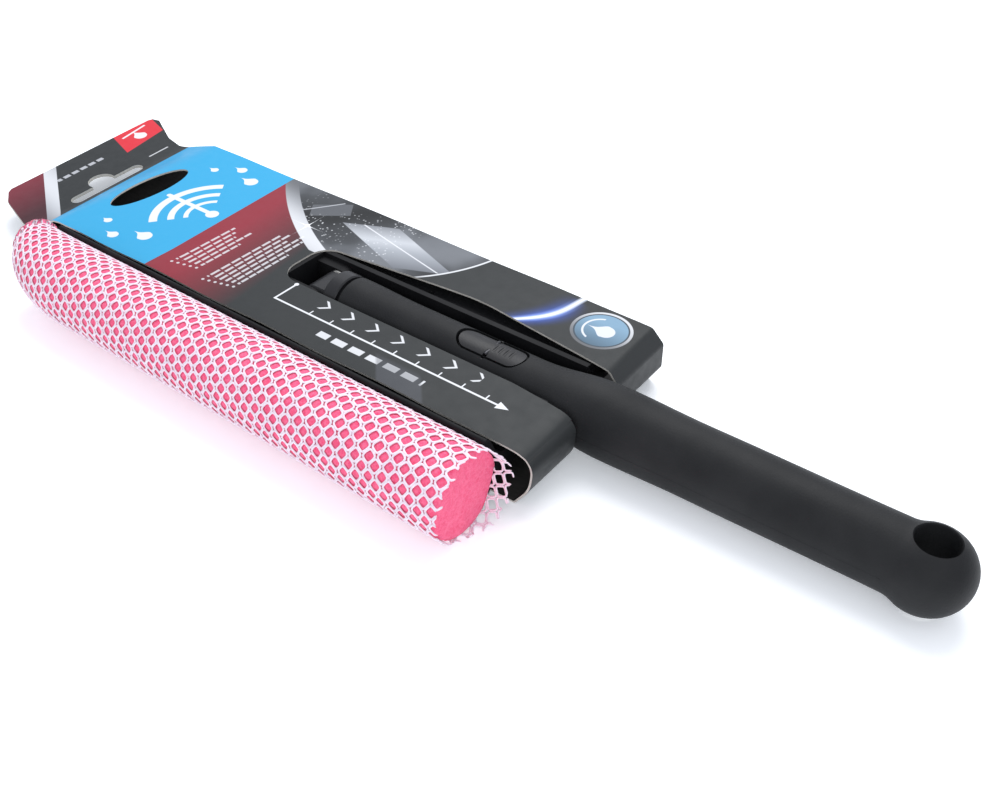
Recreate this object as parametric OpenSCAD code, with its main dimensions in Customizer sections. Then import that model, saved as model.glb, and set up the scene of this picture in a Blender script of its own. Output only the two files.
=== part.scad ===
// Folding, extending car window wiper: a foam roll in a net sleeve on one edge of the head, a rubber
// blade on the other, and a telescopic handle that folds flat between them, all in a printed card sleeve.
// The head lies along X, the foam roll is on the -Y side, and the handle points to +X when folded.

/* [Foam roll] */
// How far the roll stands past each end of the head's frame
roll_past = 5; // [2:0.5:8]
// Diameter of the roll over its net
roll_d = 32; // [28:0.5:36]
// From the handle's axis to the near side of the roll
roll_reach = 41.6; // [40:0.1:48]
// Thickness of the knitted net
net_t = 0.8; // [0.6:0.1:1.2]
// Net that hangs past the roll's cut end
net_hang = 3; // [1:0.5:6]
// Length over which the roll narrows to its tucked end
taper_len = 34; // [20:1:40]
// Radius of the tucked end
tuck_r = 9.5; // [6:0.5:12]

/* [Head] */
// Length of the head's frame along the roll
head_len = 212; // [180:1:214]
// From the hinge to the middle of the head
head_mid = 5.5; // [0:0.5:7]
// Height of the frame's open lattice
lattice_h = 8; // [6:0.5:10]
// Thickness of the lattice's ribs
rib_t = 2.2; // [1.6:0.1:3]
// Bays of the lattice behind the hinge
back_bays = 5; // [3:1:7]
// Bays of the lattice beside the handle
side_bays = 6; // [4:1:8]
// Room between the folded handle and the frame
nest_gap = 0.7; // [0.5:0.1:1.5]
// Thickness of the walls beside the handle
rail_t = 2.2; // [1.8:0.1:3]
// Wall of the cradle that holds the roll
cradle_t = 2.2; // [1.6:0.1:3]
// Half the angle that the cradle wraps round the roll
cradle_wrap = 40; // [30:1:46]
// Diameter of the rod that holds the net in the cradle
rod_d = 3; // [2.4:0.1:3.6]
// Width of the strap that the folded handle rests on
saddle_w = 9; // [6:0.5:14]
// Thickness of that strap
saddle_t = 1.3; // [1:0.1:1.6]

/* [Blade] */
// How far the blade stands past each end of the frame
blade_past = 4; // [1:0.5:5]
// From the handle's axis to the blade's edge
blade_reach = 43.5; // [41:0.5:46]
// Thickness of the blade at its root
blade_t = 1.6; // [1.2:0.1:2.2]
// Thickness of the blade at its edge
blade_edge_t = 0.6; // [0.4:0.1:1]
// Diameter of the bead along the blade's root
bead_d = 4; // [3:0.2:5]
// Thickness of each jaw of the blade's clamp
jaw_t = 4; // [3.5:0.1:5]
// Jaw in front of the bead
jaw_lip = 3.4; // [2.4:0.1:5]
// Screws along the clamp
screw_count = 4; // [3:1:6]
// Diameter of the screws' thread
screw_d = 2.6; // [2:0.1:3]
// Diameter of the screws' heads
screw_head_d = 5; // [4:0.1:5.6]
// Height of the screws' heads
screw_head_h = 1.6; // [1.2:0.1:2]

/* [Hinge] */
// Diameter of the hinge pin
pin_d = 5; // [4:0.1:6]
// Diameter of the knuckle's barrel
knuckle_d = 11.2; // [10:0.2:11.6]
// Width of the knuckle
knuckle_w = 14; // [12:0.2:16]
// Thickness of each ear of the hub
ear_t = 3.6; // [3:0.1:4.5]
// Thickness of the friction washers
washer_t = 0.5; // [0.4:0.1:0.8]
// Diameter of the friction washers
washer_d = 10.4; // [8:0.2:11]
// Thickness of the pin's retaining clips
clip_t = 0.8; // [0.6:0.1:1]
// Side gap between a washer and the knuckle
face_gap = 0.05; // [0.03:0.01:0.1]
// Radial clearance of everything that turns or slides
run_gap = 0.05; // [0.03:0.01:0.08]

/* [Inner tube] */
// Outer diameter of the inner tube
tube_d = 11.4; // [10.5:0.1:12]
// Wall of the inner tube
tube_t = 1; // [0.8:0.1:1.4]
// From the hinge to the collar's face
collar_x = 6.5; // [6.4:0.1:9]
// Length of the knuckle's spigot inside the tube
spigot_len = 16; // [12:0.5:22]
// Diameter of the rivet through tube and spigot
rivet_d = 2.4; // [2:0.1:3]
// From the hinge to the tube's far end
tube_end = 218; // [192:1:219]
// Length of the guide bush at the tube's end
bush_len = 9; // [7:0.5:14]

/* [Grip] */
// Length of the collar's visible ring
collar_len = 6.5; // [5:0.1:9]
// Diameter of the collar's ring
collar_d = 21.6; // [20:0.1:22]
// Length of the collar's sleeve inside the grip
collar_sleeve = 9; // [7:0.5:14]
// Wall of the collar's sleeve
sleeve_t = 1.6; // [1.2:0.1:1.8]
// Width of the groove between collar and grip
groove_w = 1.3; // [0.8:0.1:2]
// Diameter of the grip at its front
front_d = 21.4; // [20.6:0.1:22]
// Diameter of the grip's waist
waist_d = 20; // [19.4:0.1:20.4]
// From the sleeve's end wall to the middle of the swell
swell_gap = 6; // [4:1:12]
// Diameter of the swell
swell_d = 25.8; // [24:0.2:27]
// Diameter of the grip before its bulb
tail_d = 23.6; // [22:0.2:25]
// Diameter of the bulb at the end
bulb_d = 27.4; // [26:0.2:28]
// From the hinge to the hanging hole
hang_x = 234.3; // [232:0.1:244]
// Diameter of the hanging hole
hang_d = 13; // [11:0.2:14]
// Radius of the fillet between the tail and the bulb
neck_r = 9; // [5:0.5:14]
// Softened edge of the hanging hole
hang_edge = 1.2; // [0.8:0.1:1.6]
// Gap between the inner tube and the grip's bore
bore_gap = 0.6; // [0.4:0.1:0.8]

/* [Latch] */
// Length of the thumb latch
latch_len = 27; // [24:0.5:28]
// Width of the thumb latch
latch_w = 9.6; // [8.6:0.1:10]
// From the hinge to the middle of the latch
latch_x = 80; // [76:0.5:84]
// Gap round the latch
latch_gap = 1; // [0.6:0.1:1.2]
// How far the latch lies below the grip
latch_sink = 0.5; // [0.2:0.1:0.6]
// Diameter of the latch's axle
axle_d = 1.6; // [1.4:0.1:1.8]
// Angle that the latch rocks
latch_tilt = 3.5; // [3:0.1:4]
// Length of the brake pad under the latch
pad_len = 5; // [4:0.2:6]
// Width of the brake pad
pad_w = 5.4; // [4.4:0.2:6]
// Thickness of the leaf spring
spring_t = 0.3; // [0.2:0.05:0.4]
// Width of the leaf spring
spring_w = 4; // [3:0.2:5]

/* [Card sleeve] */
// Thickness of the card
card_t = 0.7; // [0.5:0.1:0.9]
// Height of the sleeve
card_h = 22.4; // [22:0.1:23]
// From the handle's axis to the sleeve's roll side
card_left = 38; // [36:0.5:39.5]
// From the handle's axis to the sleeve's blade side at the header
card_right = 47; // [46:0.5:52]
// The same at the end wall
card_right_end = 44; // [44:0.5:50]
// From the frame's end to the sleeve's end wall
wall_gap = 10.5; // [9.5:0.5:14.5]
// Bend between the front panel and the end wall
bend_r = 10; // [6:0.5:11]
// From the frame's far end to the header's fold
fold_gap = 14.5; // [11.5:0.5:17.5]
// Length of the header's slope
slope_len = 20; // [16:1:26]
// Height of the header's flat
header_z = 14; // [12:0.5:18]
// Length of the header past its fold
header_len = 57; // [51:1:63]
// Width of the hanging slot's bar
euro_w = 6; // [5:0.2:8]
// Length of the hanging slot's bar
euro_len = 38; // [30:1:42]
// Diameter of the hanging slot's hump
euro_hump_d = 12; // [10:0.5:14]
// From the fold to the middle of the hanging slot's bar
euro_gap = 24; // [22.5:0.5:28]
// Length of the oval finger hole
finger_len = 40; // [32:1:44]
// Width of the oval finger hole
finger_w = 14; // [12:0.5:16]
// From the fold to the middle of the finger hole
finger_gap = 8; // [7.5:0.5:11]
// Middle of both holes across the sleeve
hole_y = 3.6; // [2:0.1:6]
// Gap between the card and the handle that folds through it
card_gap = 0.6; // [0.5:0.1:1.2]
// Extra width of the slot on the blade's side
slot_extra = 3.2; // [0:0.1:4]
// How much further the slot bows out beside the latch
slot_bow = 5.8; // [0:0.1:7]
// From the hinge to the slot's closed end
slot_back = 13.6; // [13:0.1:20]

/* [Hidden] */
$fn = 64;
eps = 0.01;          // overlap of cutters past a face

// places of the main axes
axis_z = bulb_d / 2;                       // the handle's axis: the bulb touches the ground
roll_r = roll_d / 2;
roll_y = -(roll_reach + roll_r);
roll_z = roll_r;                           // the roll rests on the ground
foam_r = roll_r - net_t;
tube_r = tube_d / 2;
bore_r = tube_r + bore_gap;

// head
nest_r = max(collar_d, front_d) / 2 + nest_gap;   // half the channel that the handle nests in
rail_y = nest_r + rail_t;                  // outer face of the channel's walls
cradle_r = roll_r + cradle_t;
lip_r = cradle_t / 2 - 0.15;               // the cradle's round lips, a little thinner than its wall
lattice_y0 = roll_y + sqrt(pow(roll_r + cradle_t / 2, 2) - pow(roll_z - axis_z, 2));
rod_y = roll_y + roll_r + rod_d / 2;       // the rod presses on the net
bead_y = rail_y + screw_head_d + 2 * rib_t + bead_d / 2;
screw_y = rail_y + rib_t + screw_head_d / 2;
jaw_y1 = bead_y + jaw_lip;
lattice_y1 = rail_y + rib_t / 2;
knuckle_r = knuckle_d / 2;
pin_r = pin_d / 2;
ear_y0 = knuckle_w / 2 + face_gap + washer_t;     // inner face of each ear
ear_y1 = ear_y0 + ear_t;
ear_r = knuckle_r + 0.4;
knuckle_round = knuckle_w / 2 + 1;         // rounds the knuckle's long edges
face_t = 0.2;                              // the knuckle stops this far before the collar
clip_r = pin_r + 1.6;
hub_hole_r = (-lattice_y0 - rail_y) / 4;
channel_x0 = -nest_r;                      // closed end of the channel: the collar swings past it
hub_x0 = channel_x0 - rail_t;
hub_x1 = ear_r + rib_t;
head_x0 = head_mid - head_len / 2;
head_x1 = head_mid + head_len / 2;
roll_x0 = head_x0 - roll_past;
roll_x1 = head_x1 + roll_past;
blade_x0 = head_x0 - blade_past;
blade_len = head_len + 2 * blade_past;
rail_top = card_h - card_t;                // the front panel lies on the rails
back_x0 = head_x0 + rib_t;                 // truss behind the hinge
back_pitch = (hub_x0 - back_x0) / back_bays;
saddle_x = head_x1 - saddle_w - rib_t;
screw_inset = 12;                          // from the frame's end to the first screw
screw_pitch = (head_len - 2 * screw_inset) / (screw_count - 1);
screw_len = jaw_t * 1.7;
recess_w = 0.7;                            // cross recess of the screws
notch_count = 5;                           // finger notches along the clamp's front
notch_inset = 30;
notch_r = 5;

// card, as distances from the hinge
wall_x = head_x1 + wall_gap;
fold_x = fold_gap - head_x0;
header_x = fold_x + header_len;
euro_x = fold_x + euro_gap;
finger_x = fold_x - finger_gap;

// grip: stations of its outline, as [distance from the hinge, radius]
swell_x = wall_x + swell_gap;
collar_end = collar_x + collar_len;
grip_x0 = collar_end + groove_w;
latch_x0 = latch_x - latch_len / 2;
latch_x1 = latch_x + latch_len / 2;
bulb_r = bulb_d / 2;
tail_r = tail_d / 2;
neck_x = hang_x - sqrt(pow(bulb_r + neck_r, 2) - pow(tail_r + neck_r, 2));    // where the fillet starts
neck_a = acos((tail_r + neck_r) / (bulb_r + neck_r));                         // angle that it turns
stations = [[grip_x0, front_d / 2], [grip_x0 + 30, waist_d / 2], [latch_x1 + 4, waist_d / 2],
            [swell_x, swell_d / 2], [swell_x + 34, tail_d / 2 + 0.4], [neck_x - 2, tail_d / 2]];
groove_r = tube_r + run_gap + sleeve_t + 1.6;
sleeve_r = tube_r + run_gap + sleeve_t;
bush_flange = bush_len / 3;
bore_end = tube_end + 0.8;
latch_top = waist_d / 2 - latch_sink;      // all heights of the latch are above the handle's axis
latch_low = bore_r + 1;
shelf_top = bore_r + 0.9;                  // ledge that the leaf spring stands on
axle_z = latch_low + axle_d / 2 + 0.4;
rear_low = shelf_top + spring_t + (latch_len / 2 + 1) * sin(latch_tilt) + 0.15;
rear_x0 = latch_x + axle_d + 0.8;          // where the latch's underside starts to rise
rear_z0 = latch_low + 0.5;
pad_x = latch_x0 + 1.4 + pad_len / 2;

// card
bend_x = wall_x - bend_r;
slot_r = nest_r - nest_gap + card_gap;     // half the slot where the handle's front part swings
slot_wide = swell_d / 2 + card_gap;        // half the notch where the swell passes
slot_x0 = -slot_back;
slot_round = 9;
header_y0 = card_left;                     // header's roll-side edge
header_y1 = card_right + 9;                // header's widest point on the blade's side
header_cut = 12;                           // chamfer of the header's roll-side corner
// waist of the header's blade-side edge: distance past the fold, and how far it draws in
header_neck = [[0, 0], [14, 0.6], [24, 2.2], [34, 0]];
back_gap = 0.02;                           // the two layers of the header lie on each other
back_fold_x = fold_x - 6;                  // where the back panel starts to rise to the header
sheet_x0 = header_x + 1;                   // the strips are drawn past the card's outline
sheet_w = 2 * (card_left + card_right);

// whole object, for the origin in the middle of the box on the ground
x_max = hang_x + bulb_r;
x_min = -header_x;
y_min = roll_y - roll_r;
y_max = header_y1;
x_mid = (x_min + x_max) / 2;
y_mid = (y_min + y_max) / 2;

function arc(cx, cy, r, a0, a1, steps = 8) =
    [for (i = [0 : steps]) let (a = a0 + (a1 - a0) * i / steps) [cx + r * cos(a), cy + r * sin(a)]];
// smooth step between two stations of an outline
function blend(p, q, steps = 7) =
    [for (i = [0 : steps - 1]) let (t = i / steps)
        [p[0] + (q[0] - p[0]) * t, p[1] + (q[1] - p[1]) * (1 - cos(180 * t)) / 2]];
function outline(s) = [for (i = [0 : len(s) - 2]) each blend(s[i], s[i + 1])];
function swapped(pts) = [for (p = pts) [p[1], p[0]]];

module placed() {
    translate([-x_mid, -y_mid, 0]) children();
}
// a section drawn in Y and Z, drawn out along X
module along_x(x0, length) {
    translate([x0, 0, 0]) rotate([90, 0, 90]) linear_extrude(length) children();
}
// a side view drawn in X and Z, drawn out along Y
module along_y(y0, length) {
    translate([0, y0 + length, 0]) rotate([90, 0, 0]) linear_extrude(length) children();
}
// a round bar along X, on the handle's axis
module rod_x(x0, length, r) {
    translate([x0, 0, axis_z]) rotate([0, 90, 0]) cylinder(h = length, r = r);
}
// a profile of [distance along X, radius] turned about the handle's axis
module turned_x(pts) {
    translate([0, 0, axis_z]) rotate([0, 90, 0]) rotate_extrude() polygon(swapped(pts));
}
// a round bar along Y at the hinge's height
module rod_y_at(x, z, y0, length, r) {
    translate([x, y0, z]) rotate([-90, 0, 0]) cylinder(h = length, r = r);
}
module stadium(x0, x1, w) {
    r = w / 2;
    translate([x0 + r, -r]) square([x1 - x0 - w, w]);
    for (x = [x0 + r, x1 - r]) translate([x, 0]) circle(r = r);
}

/* ---- head ---- */
// windows of a truss: triangles that leave ribs of one thickness between them
module truss_windows(x0, x1, y0, y1, bays) {
    pitch = (x1 - x0) / bays;
    t = rib_t / 2;
    slant = t * sqrt(pitch * pitch + pow(y1 - y0, 2)) / (y1 - y0);
    side = t * sqrt(pitch * pitch + pow(y1 - y0, 2)) / pitch;
    for (i = [0 : bays - 1]) {
        xa = x0 + i * pitch + t;
        xb = xa + pitch - 2 * t;
        up = i % 2 == 0;
        polygon(up ? [[xa, y0], [xb - slant, y0], [xa, y1 - side - t]]
                   : [[xa, y1], [xb - slant, y1], [xa, y0 + side + t]]);
        polygon(up ? [[xb, y1], [xa + slant, y1], [xb, y0 + side + t]]
                   : [[xb, y0], [xa + slant, y0], [xb, y1 - side - t]]);
    }
}

module lattice_plan() {
    difference() {
        translate([head_x0, lattice_y0]) square([head_len, lattice_y1 - lattice_y0]);
        translate([channel_x0, -nest_r]) square([head_len, 2 * nest_r]);
        truss_windows(back_x0, hub_x0, lattice_y0 + cradle_t + rib_t, lattice_y1 - rib_t * 1.5, back_bays);
        truss_windows(hub_x1, head_x1 - rib_t, lattice_y0 + cradle_t + rib_t, -rail_y, side_bays);
    }
}

// section of the cradle, with the boss of the net's rod
module cradle_section() {
    far = 3 * cradle_r;
    translate([roll_y, roll_z]) {
        difference() {
            union() {
                circle(r = cradle_r);
                translate([rod_y - roll_y, 0]) circle(r = rod_d / 2 + rib_t);
            }
            circle(r = roll_r);
            polygon([[0, 0], [far * cos(cradle_wrap), far * sin(cradle_wrap)], [0, 2 * far],
                     [-2 * far, 0], [0, -2 * far], [far * cos(cradle_wrap), -far * sin(cradle_wrap)]]);
        }
        for (s = [-1, 1]) rotate(s * cradle_wrap) translate([roll_r + cradle_t / 2, 0]) circle(r = lip_r);
    }
}

// round bar along the blade's root, and the clamp's screws
module blade_bead(x0, length, r) {
    translate([x0, bead_y, axis_z]) rotate([0, 90, 0]) cylinder(h = length, r = r);
}
module at_screws(z0) {
    for (i = [0 : screw_count - 1])
        translate([head_x0 + screw_inset + i * screw_pitch, screw_y, z0]) children();
}
module clamp_holes(r, z0, h) {
    at_screws(z0) cylinder(h = h, r = r);
}

module head_frame() {
    color([0.08, 0.08, 0.09]) placed() difference() {
        union() {
            translate([0, 0, axis_z - lattice_h / 2]) linear_extrude(lattice_h) lattice_plan();
            along_x(head_x0, head_len) cradle_section();
            // walls beside the handle, and the closed end behind the knuckle
            for (y = [-rail_y, nest_r])
                translate([hub_x0, y, axis_z - lattice_h])
                    cube([head_x1 - hub_x0, rail_t, rail_top - axis_z + lattice_h]);
            translate([hub_x0, -rail_y, axis_z - lattice_h])
                cube([rail_t, 2 * rail_y, rail_top - axis_z + lattice_h]);
            // ears of the hinge
            for (y = [-nest_r - eps, ear_y0]) {
                rod_y_at(0, axis_z, y, nest_r + eps - ear_y0, ear_r);
                translate([channel_x0 - eps, y, axis_z - ear_r])
                    cube([-channel_x0 + eps, nest_r + eps - ear_y0, 2 * ear_r]);
            }
            // upper jaw of the blade's clamp
            translate([head_x0, nest_r + eps, axis_z]) cube([head_len, jaw_y1 - nest_r - eps, jaw_t]);
            // strap under the folded handle
            intersection() {
                translate([saddle_x, 0, 0]) rod_x(0, saddle_w, nest_r + saddle_t);
                translate([saddle_x - 1, -nest_r - rail_t / 2, card_t])
                    cube([saddle_w + 2, 2 * nest_r + rail_t, axis_z - card_t - 1]);
            }
            // every other rib behind the hinge rises to the front panel
            for (i = [1 : 2 : back_bays - 1])
                translate([back_x0 + i * back_pitch - rib_t / 2, lattice_y0 + cradle_t, axis_z])
                    cube([rib_t, lattice_y1 - lattice_y0 - cradle_t, rail_top - axis_z]);
        }
        rod_x(saddle_x - 1, saddle_w + 2, nest_r);
        // channel and mouth of the net's rod
        translate([head_x0 - 1, rod_y, roll_z]) rotate([0, 90, 0])
            cylinder(h = head_len + 2, r = rod_d / 2);
        translate([head_x0 - 1, roll_y + roll_r - rod_d / 2, roll_z - rod_d * 0.35])
            cube([head_len + 2, rod_d, rod_d * 0.7]);
        // bore of the hinge
        rod_y_at(0, axis_z, -rail_y - 1, 2 * rail_y + 2, pin_r);
        // pockets of the pin's clips, and the way that the pin goes in
        for (m = [0, 1]) mirror([0, m, 0])
            translate([-clip_r - 0.4, rail_y, axis_z - clip_r - 0.4])
                cube([2 * clip_r + 0.8, clip_t + 1.4, rail_top]);
        rod_y_at(0, axis_z, rail_y, jaw_y1, pin_r + 0.2);
        // hole that lightens the hub
        translate([(hub_x0 + hub_x1) / 2, (lattice_y0 - rail_y) / 2, 0])
            cylinder(h = rail_top, r = hub_hole_r);
        // groove of the blade, and its screws
        blade_bead(head_x0 - 1, head_len + 2, bead_d / 2);
        translate([head_x0 - 1, bead_y, axis_z - 1]) cube([head_len + 2, jaw_y1, blade_t / 2 + 1]);
        clamp_holes(screw_d / 2, axis_z - 1, screw_len - jaw_t + 1 + screw_head_h);
    }
}

module blade_clamp() {
    color([0.1, 0.1, 0.11]) placed() difference() {
        translate([head_x0, lattice_y1, axis_z - jaw_t]) cube([head_len, jaw_y1 - lattice_y1, jaw_t]);
        blade_bead(head_x0 - 1, head_len + 2, bead_d / 2);
        translate([head_x0 - 1, bead_y, axis_z - blade_t / 2]) cube([head_len + 2, jaw_y1, blade_t]);
        clamp_holes(screw_d / 2, axis_z - jaw_t - 1, jaw_t + 2);
        clamp_holes(screw_head_d / 2 + 0.2, axis_z - jaw_t - 1, screw_head_h + 1);
        rod_y_at(0, axis_z, rail_y, jaw_y1, pin_r + 0.2);
        // finger notches along the front for pulling the clamp off
        for (i = [0 : notch_count - 1])
            translate([head_x0 + notch_inset + i * (head_len - 2 * notch_inset) / (notch_count - 1),
                       jaw_y1 + notch_r * 0.6, axis_z - jaw_t - 1]) cylinder(h = jaw_t / 2 + 0.4, r = notch_r);
    }
}

module clamp_screws() {
    z0 = axis_z - jaw_t;
    color([0.72, 0.73, 0.75]) placed() difference() {
        union() {
            clamp_holes(screw_head_d / 2, z0, screw_head_h);
            clamp_holes(screw_d / 2, z0, screw_len);
        }
        // cross recess
        at_screws(z0) for (a = [0, 90])
            rotate(a) translate([-screw_head_d * 0.3, -recess_w / 2, -1])
                cube([screw_head_d * 0.6, recess_w, screw_head_h / 2 + 1]);
    }
}

module rubber_blade() {
    color([0.05, 0.05, 0.05]) placed() {
        blade_bead(blade_x0, blade_len, bead_d / 2);
        along_x(blade_x0, blade_len)
            polygon([[bead_y, axis_z - blade_t / 2], [jaw_y1, axis_z - blade_t / 2],
                     [blade_reach, axis_z - blade_edge_t / 2], [blade_reach, axis_z + blade_edge_t / 2],
                     [jaw_y1, axis_z + blade_t / 2], [bead_y, axis_z + blade_t / 2]]);
    }
}

// the roll's outline as [distance, radius], narrowing along a quarter ellipse to its tucked end
function roll_outline(x0, x1, inset) =
    concat([[x0 + inset, 0]],
           [for (a = [0 : 9 : 90]) [x0 + inset + taper_len * (1 - cos(a)),
                                    tuck_r - inset + (roll_r - tuck_r) * sin(a)]],
           [[x1, roll_r - inset], [x1, 0]]);
module turned_roll(pts) {
    translate([0, roll_y, roll_z]) rotate([0, 90, 0]) rotate_extrude() polygon(swapped(pts));
}

module foam_roll() {
    color([0.95, 0.32, 0.45]) placed()
        turned_roll(roll_outline(roll_x0, roll_x1 - net_hang, net_t));
}

module net_sleeve() {
    color([0.97, 0.94, 0.96]) placed() difference() {
        turned_roll(roll_outline(roll_x0, roll_x1, 0));
        turned_roll(roll_outline(roll_x0, roll_x1 + 1, net_t));
    }
}

module net_rod() {
    color([0.85, 0.85, 0.87]) placed()
        translate([head_x0 + 1, rod_y, roll_z]) rotate([0, 90, 0])
            cylinder(h = head_len - 2, r = rod_d / 2);
}

/* ---- hinge ---- */
module hinge_pin() {
    half = rail_y + clip_t + 1.2;
    color([0.75, 0.76, 0.78]) placed() difference() {
        rod_y_at(0, axis_z, -half, 2 * half, pin_r);
        for (y = [-rail_y - clip_t, rail_y]) difference() {
            rod_y_at(0, axis_z, y, clip_t, pin_r + 1);
            rod_y_at(0, axis_z, y, clip_t, pin_r - 0.5);
        }
    }
}

// open rings that snap into the pin's grooves
module pin_clips() {
    color([0.6, 0.61, 0.63]) placed()
        for (y = [-rail_y, rail_y + clip_t])
            translate([0, y, axis_z]) rotate([90, 0, 0]) linear_extrude(clip_t) difference() {
                circle(r = clip_r);
                circle(r = pin_r - 0.5);
                translate([-(pin_r - 0.9), 0]) square([2 * (pin_r - 0.9), pin_d]);
            }
}

module friction_washers() {
    color([0.8, 0.8, 0.82]) placed()
        for (y = [-ear_y0, ear_y0 - washer_t]) difference() {
            rod_y_at(0, axis_z, y, washer_t, washer_d / 2);
            rod_y_at(0, axis_z, y - 1, washer_t + 2, pin_r);
        }
}

/* ---- handle: what folds ---- */
module knuckle() {
    w = knuckle_w;
    color([0.09, 0.09, 0.1]) placed() difference() {
        union() {
            intersection() {
                union() {
                    rod_y_at(0, axis_z, -w / 2, w, knuckle_r);
                    translate([0, -w / 2, axis_z - knuckle_r]) cube([collar_x - face_t, w, 2 * knuckle_r]);
                }
                rod_x(-knuckle_d, 2 * knuckle_d, knuckle_round);
            }
            rod_x(collar_x - 1, spigot_len + 1, tube_r - tube_t);
        }
        rod_y_at(0, axis_z, -w, 2 * w, pin_r + run_gap);
        translate([collar_x + spigot_len / 2, 0, axis_z - tube_r]) cylinder(h = tube_d, r = rivet_d / 2);
    }
}

module inner_tube() {
    color([0.16, 0.16, 0.17]) placed() difference() {
        rod_x(collar_x - face_t, tube_end - collar_x + face_t, tube_r);
        rod_x(collar_x - 1, tube_end - collar_x + 2, tube_r - tube_t);
        translate([collar_x + spigot_len / 2, 0, axis_z - tube_d]) cylinder(h = 2 * tube_d, r = rivet_d / 2);
    }
}

module tube_rivet() {
    color([0.7, 0.71, 0.73]) placed()
        translate([collar_x + spigot_len / 2, 0, axis_z - tube_r + 0.25])
            cylinder(h = tube_d - 0.5, r = rivet_d / 2);
}

// plug in the tube's end, with a flange that guides it in the grip's bore
module end_bush() {
    flange = bush_flange;
    x0 = tube_end - bush_len + flange;
    color([0.85, 0.85, 0.83]) placed() difference() {
        union() {
            rod_x(x0, tube_end - x0 + eps, tube_r - tube_t);
            turned_x([[tube_end, 0], [tube_end, bore_r - run_gap - 0.3], [tube_end + 0.3, bore_r - run_gap],
                      [tube_end + flange - 0.3, bore_r - run_gap],
                      [tube_end + flange, bore_r - run_gap - 0.3], [tube_end + flange, 0]]);
        }
        rod_x(x0 - 1, bush_len + 2, tube_r - tube_t - 1.4);
    }
}

/* ---- handle: what slides ---- */
module collar() {
    r = collar_d / 2;
    color([0.11, 0.11, 0.12]) placed() difference() {
        turned_x([[collar_x, 0], [collar_x, r - 0.9], [collar_x + 0.9, r], [collar_end - 0.5, r],
                  [collar_end, r - 0.5], [collar_end, groove_r], [grip_x0, groove_r],
                  [grip_x0, sleeve_r], [grip_x0 + collar_sleeve, sleeve_r], [grip_x0 + collar_sleeve, 0]]);
        rod_x(collar_x - 1, grip_x0 + collar_sleeve - collar_x + 2, tube_r + run_gap);
    }
}

module grip_body() {
    turned_x(concat([[grip_x0, 0], [grip_x0, front_d / 2 - 0.6]],
                    [[grip_x0 + 0.6, front_d / 2]],
                    [for (p = outline(stations)) if (p[0] > grip_x0 + 1) p],
                    [stations[5]], arc(neck_x, tail_r + neck_r, neck_r, 270, 270 + neck_a - 0.5, 6),
                    [[hang_x, tail_r], [hang_x, 0]]));
    translate([hang_x, 0, axis_z]) sphere(r = bulb_r, $fn = 96);
}

module grip() {
    lead_r = hang_edge * 1.6;                  // radius of that softened edge
    color([0.07, 0.07, 0.08]) placed() difference() {
        grip_body();
        rod_x(grip_x0 - 1, bore_end + bush_flange - grip_x0 + 1, bore_r);
        rod_x(grip_x0 - 1, collar_sleeve + 1.3, sleeve_r);
        // hanging hole with softened edges
        translate([hang_x, 0, -1]) cylinder(h = bulb_d + 2, r = hang_d / 2);
        for (m = [0, 1]) translate([hang_x, 0, axis_z]) mirror([0, 0, m])
            translate([0, 0, sqrt(bulb_r * bulb_r - pow(hang_d / 2, 2)) - hang_edge])
                rotate_extrude()
                    polygon(concat([[0, 0]], arc(hang_d / 2 + lead_r, 0, lead_r, 180, 90, 5), [[0, lead_r]]));
        // opening of the thumb latch, over a ledge at its rear
        translate([0, 0, axis_z + bore_r / 2]) linear_extrude(bulb_r) intersection() {
            stadium(latch_x0 - latch_gap, latch_x1 + latch_gap, latch_w + 2 * latch_gap);
            translate([latch_x0 - 5, -latch_w]) square([latch_len / 2 + 5 + axle_d, 2 * latch_w]);
        }
        translate([0, 0, axis_z + shelf_top]) linear_extrude(bulb_r)
            stadium(latch_x0 - latch_gap, latch_x1 + latch_gap, latch_w + 2 * latch_gap);
        rod_y_at(latch_x, axis_z + axle_z, -latch_w / 2 - 2, latch_w + 4, axle_d / 2);
    }
}

module latch_axle() {
    color([0.75, 0.76, 0.78]) placed()
        rod_y_at(latch_x, axis_z + axle_z, -latch_w / 2 - 2, latch_w + 4, axle_d / 2);
}

// bowed strip between the ledge and the latch's rear half
module latch_spring() {
    x0 = rear_x0 + 1.4;
    x1 = latch_x1 - 1;
    xc = (x0 + x1) / 2;
    half = (x1 - x0) / 2;
    latch_above = rear_z0 + (rear_low - rear_z0) * (xc - rear_x0) / (latch_x1 + 1 - rear_x0);
    rise = latch_above - shelf_top - spring_t - face_gap;
    r = (half * half + rise * rise) / (2 * rise);
    z0 = axis_z + shelf_top + rise - r;
    a = asin(half / r);
    color([0.78, 0.79, 0.8]) placed() along_y(-spring_w / 2, spring_w)
        polygon(concat(arc(xc, z0, r + spring_t, 90 + a, 90 - a), arc(xc, z0, r, 90 - a, 90 + a)));
}

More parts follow.
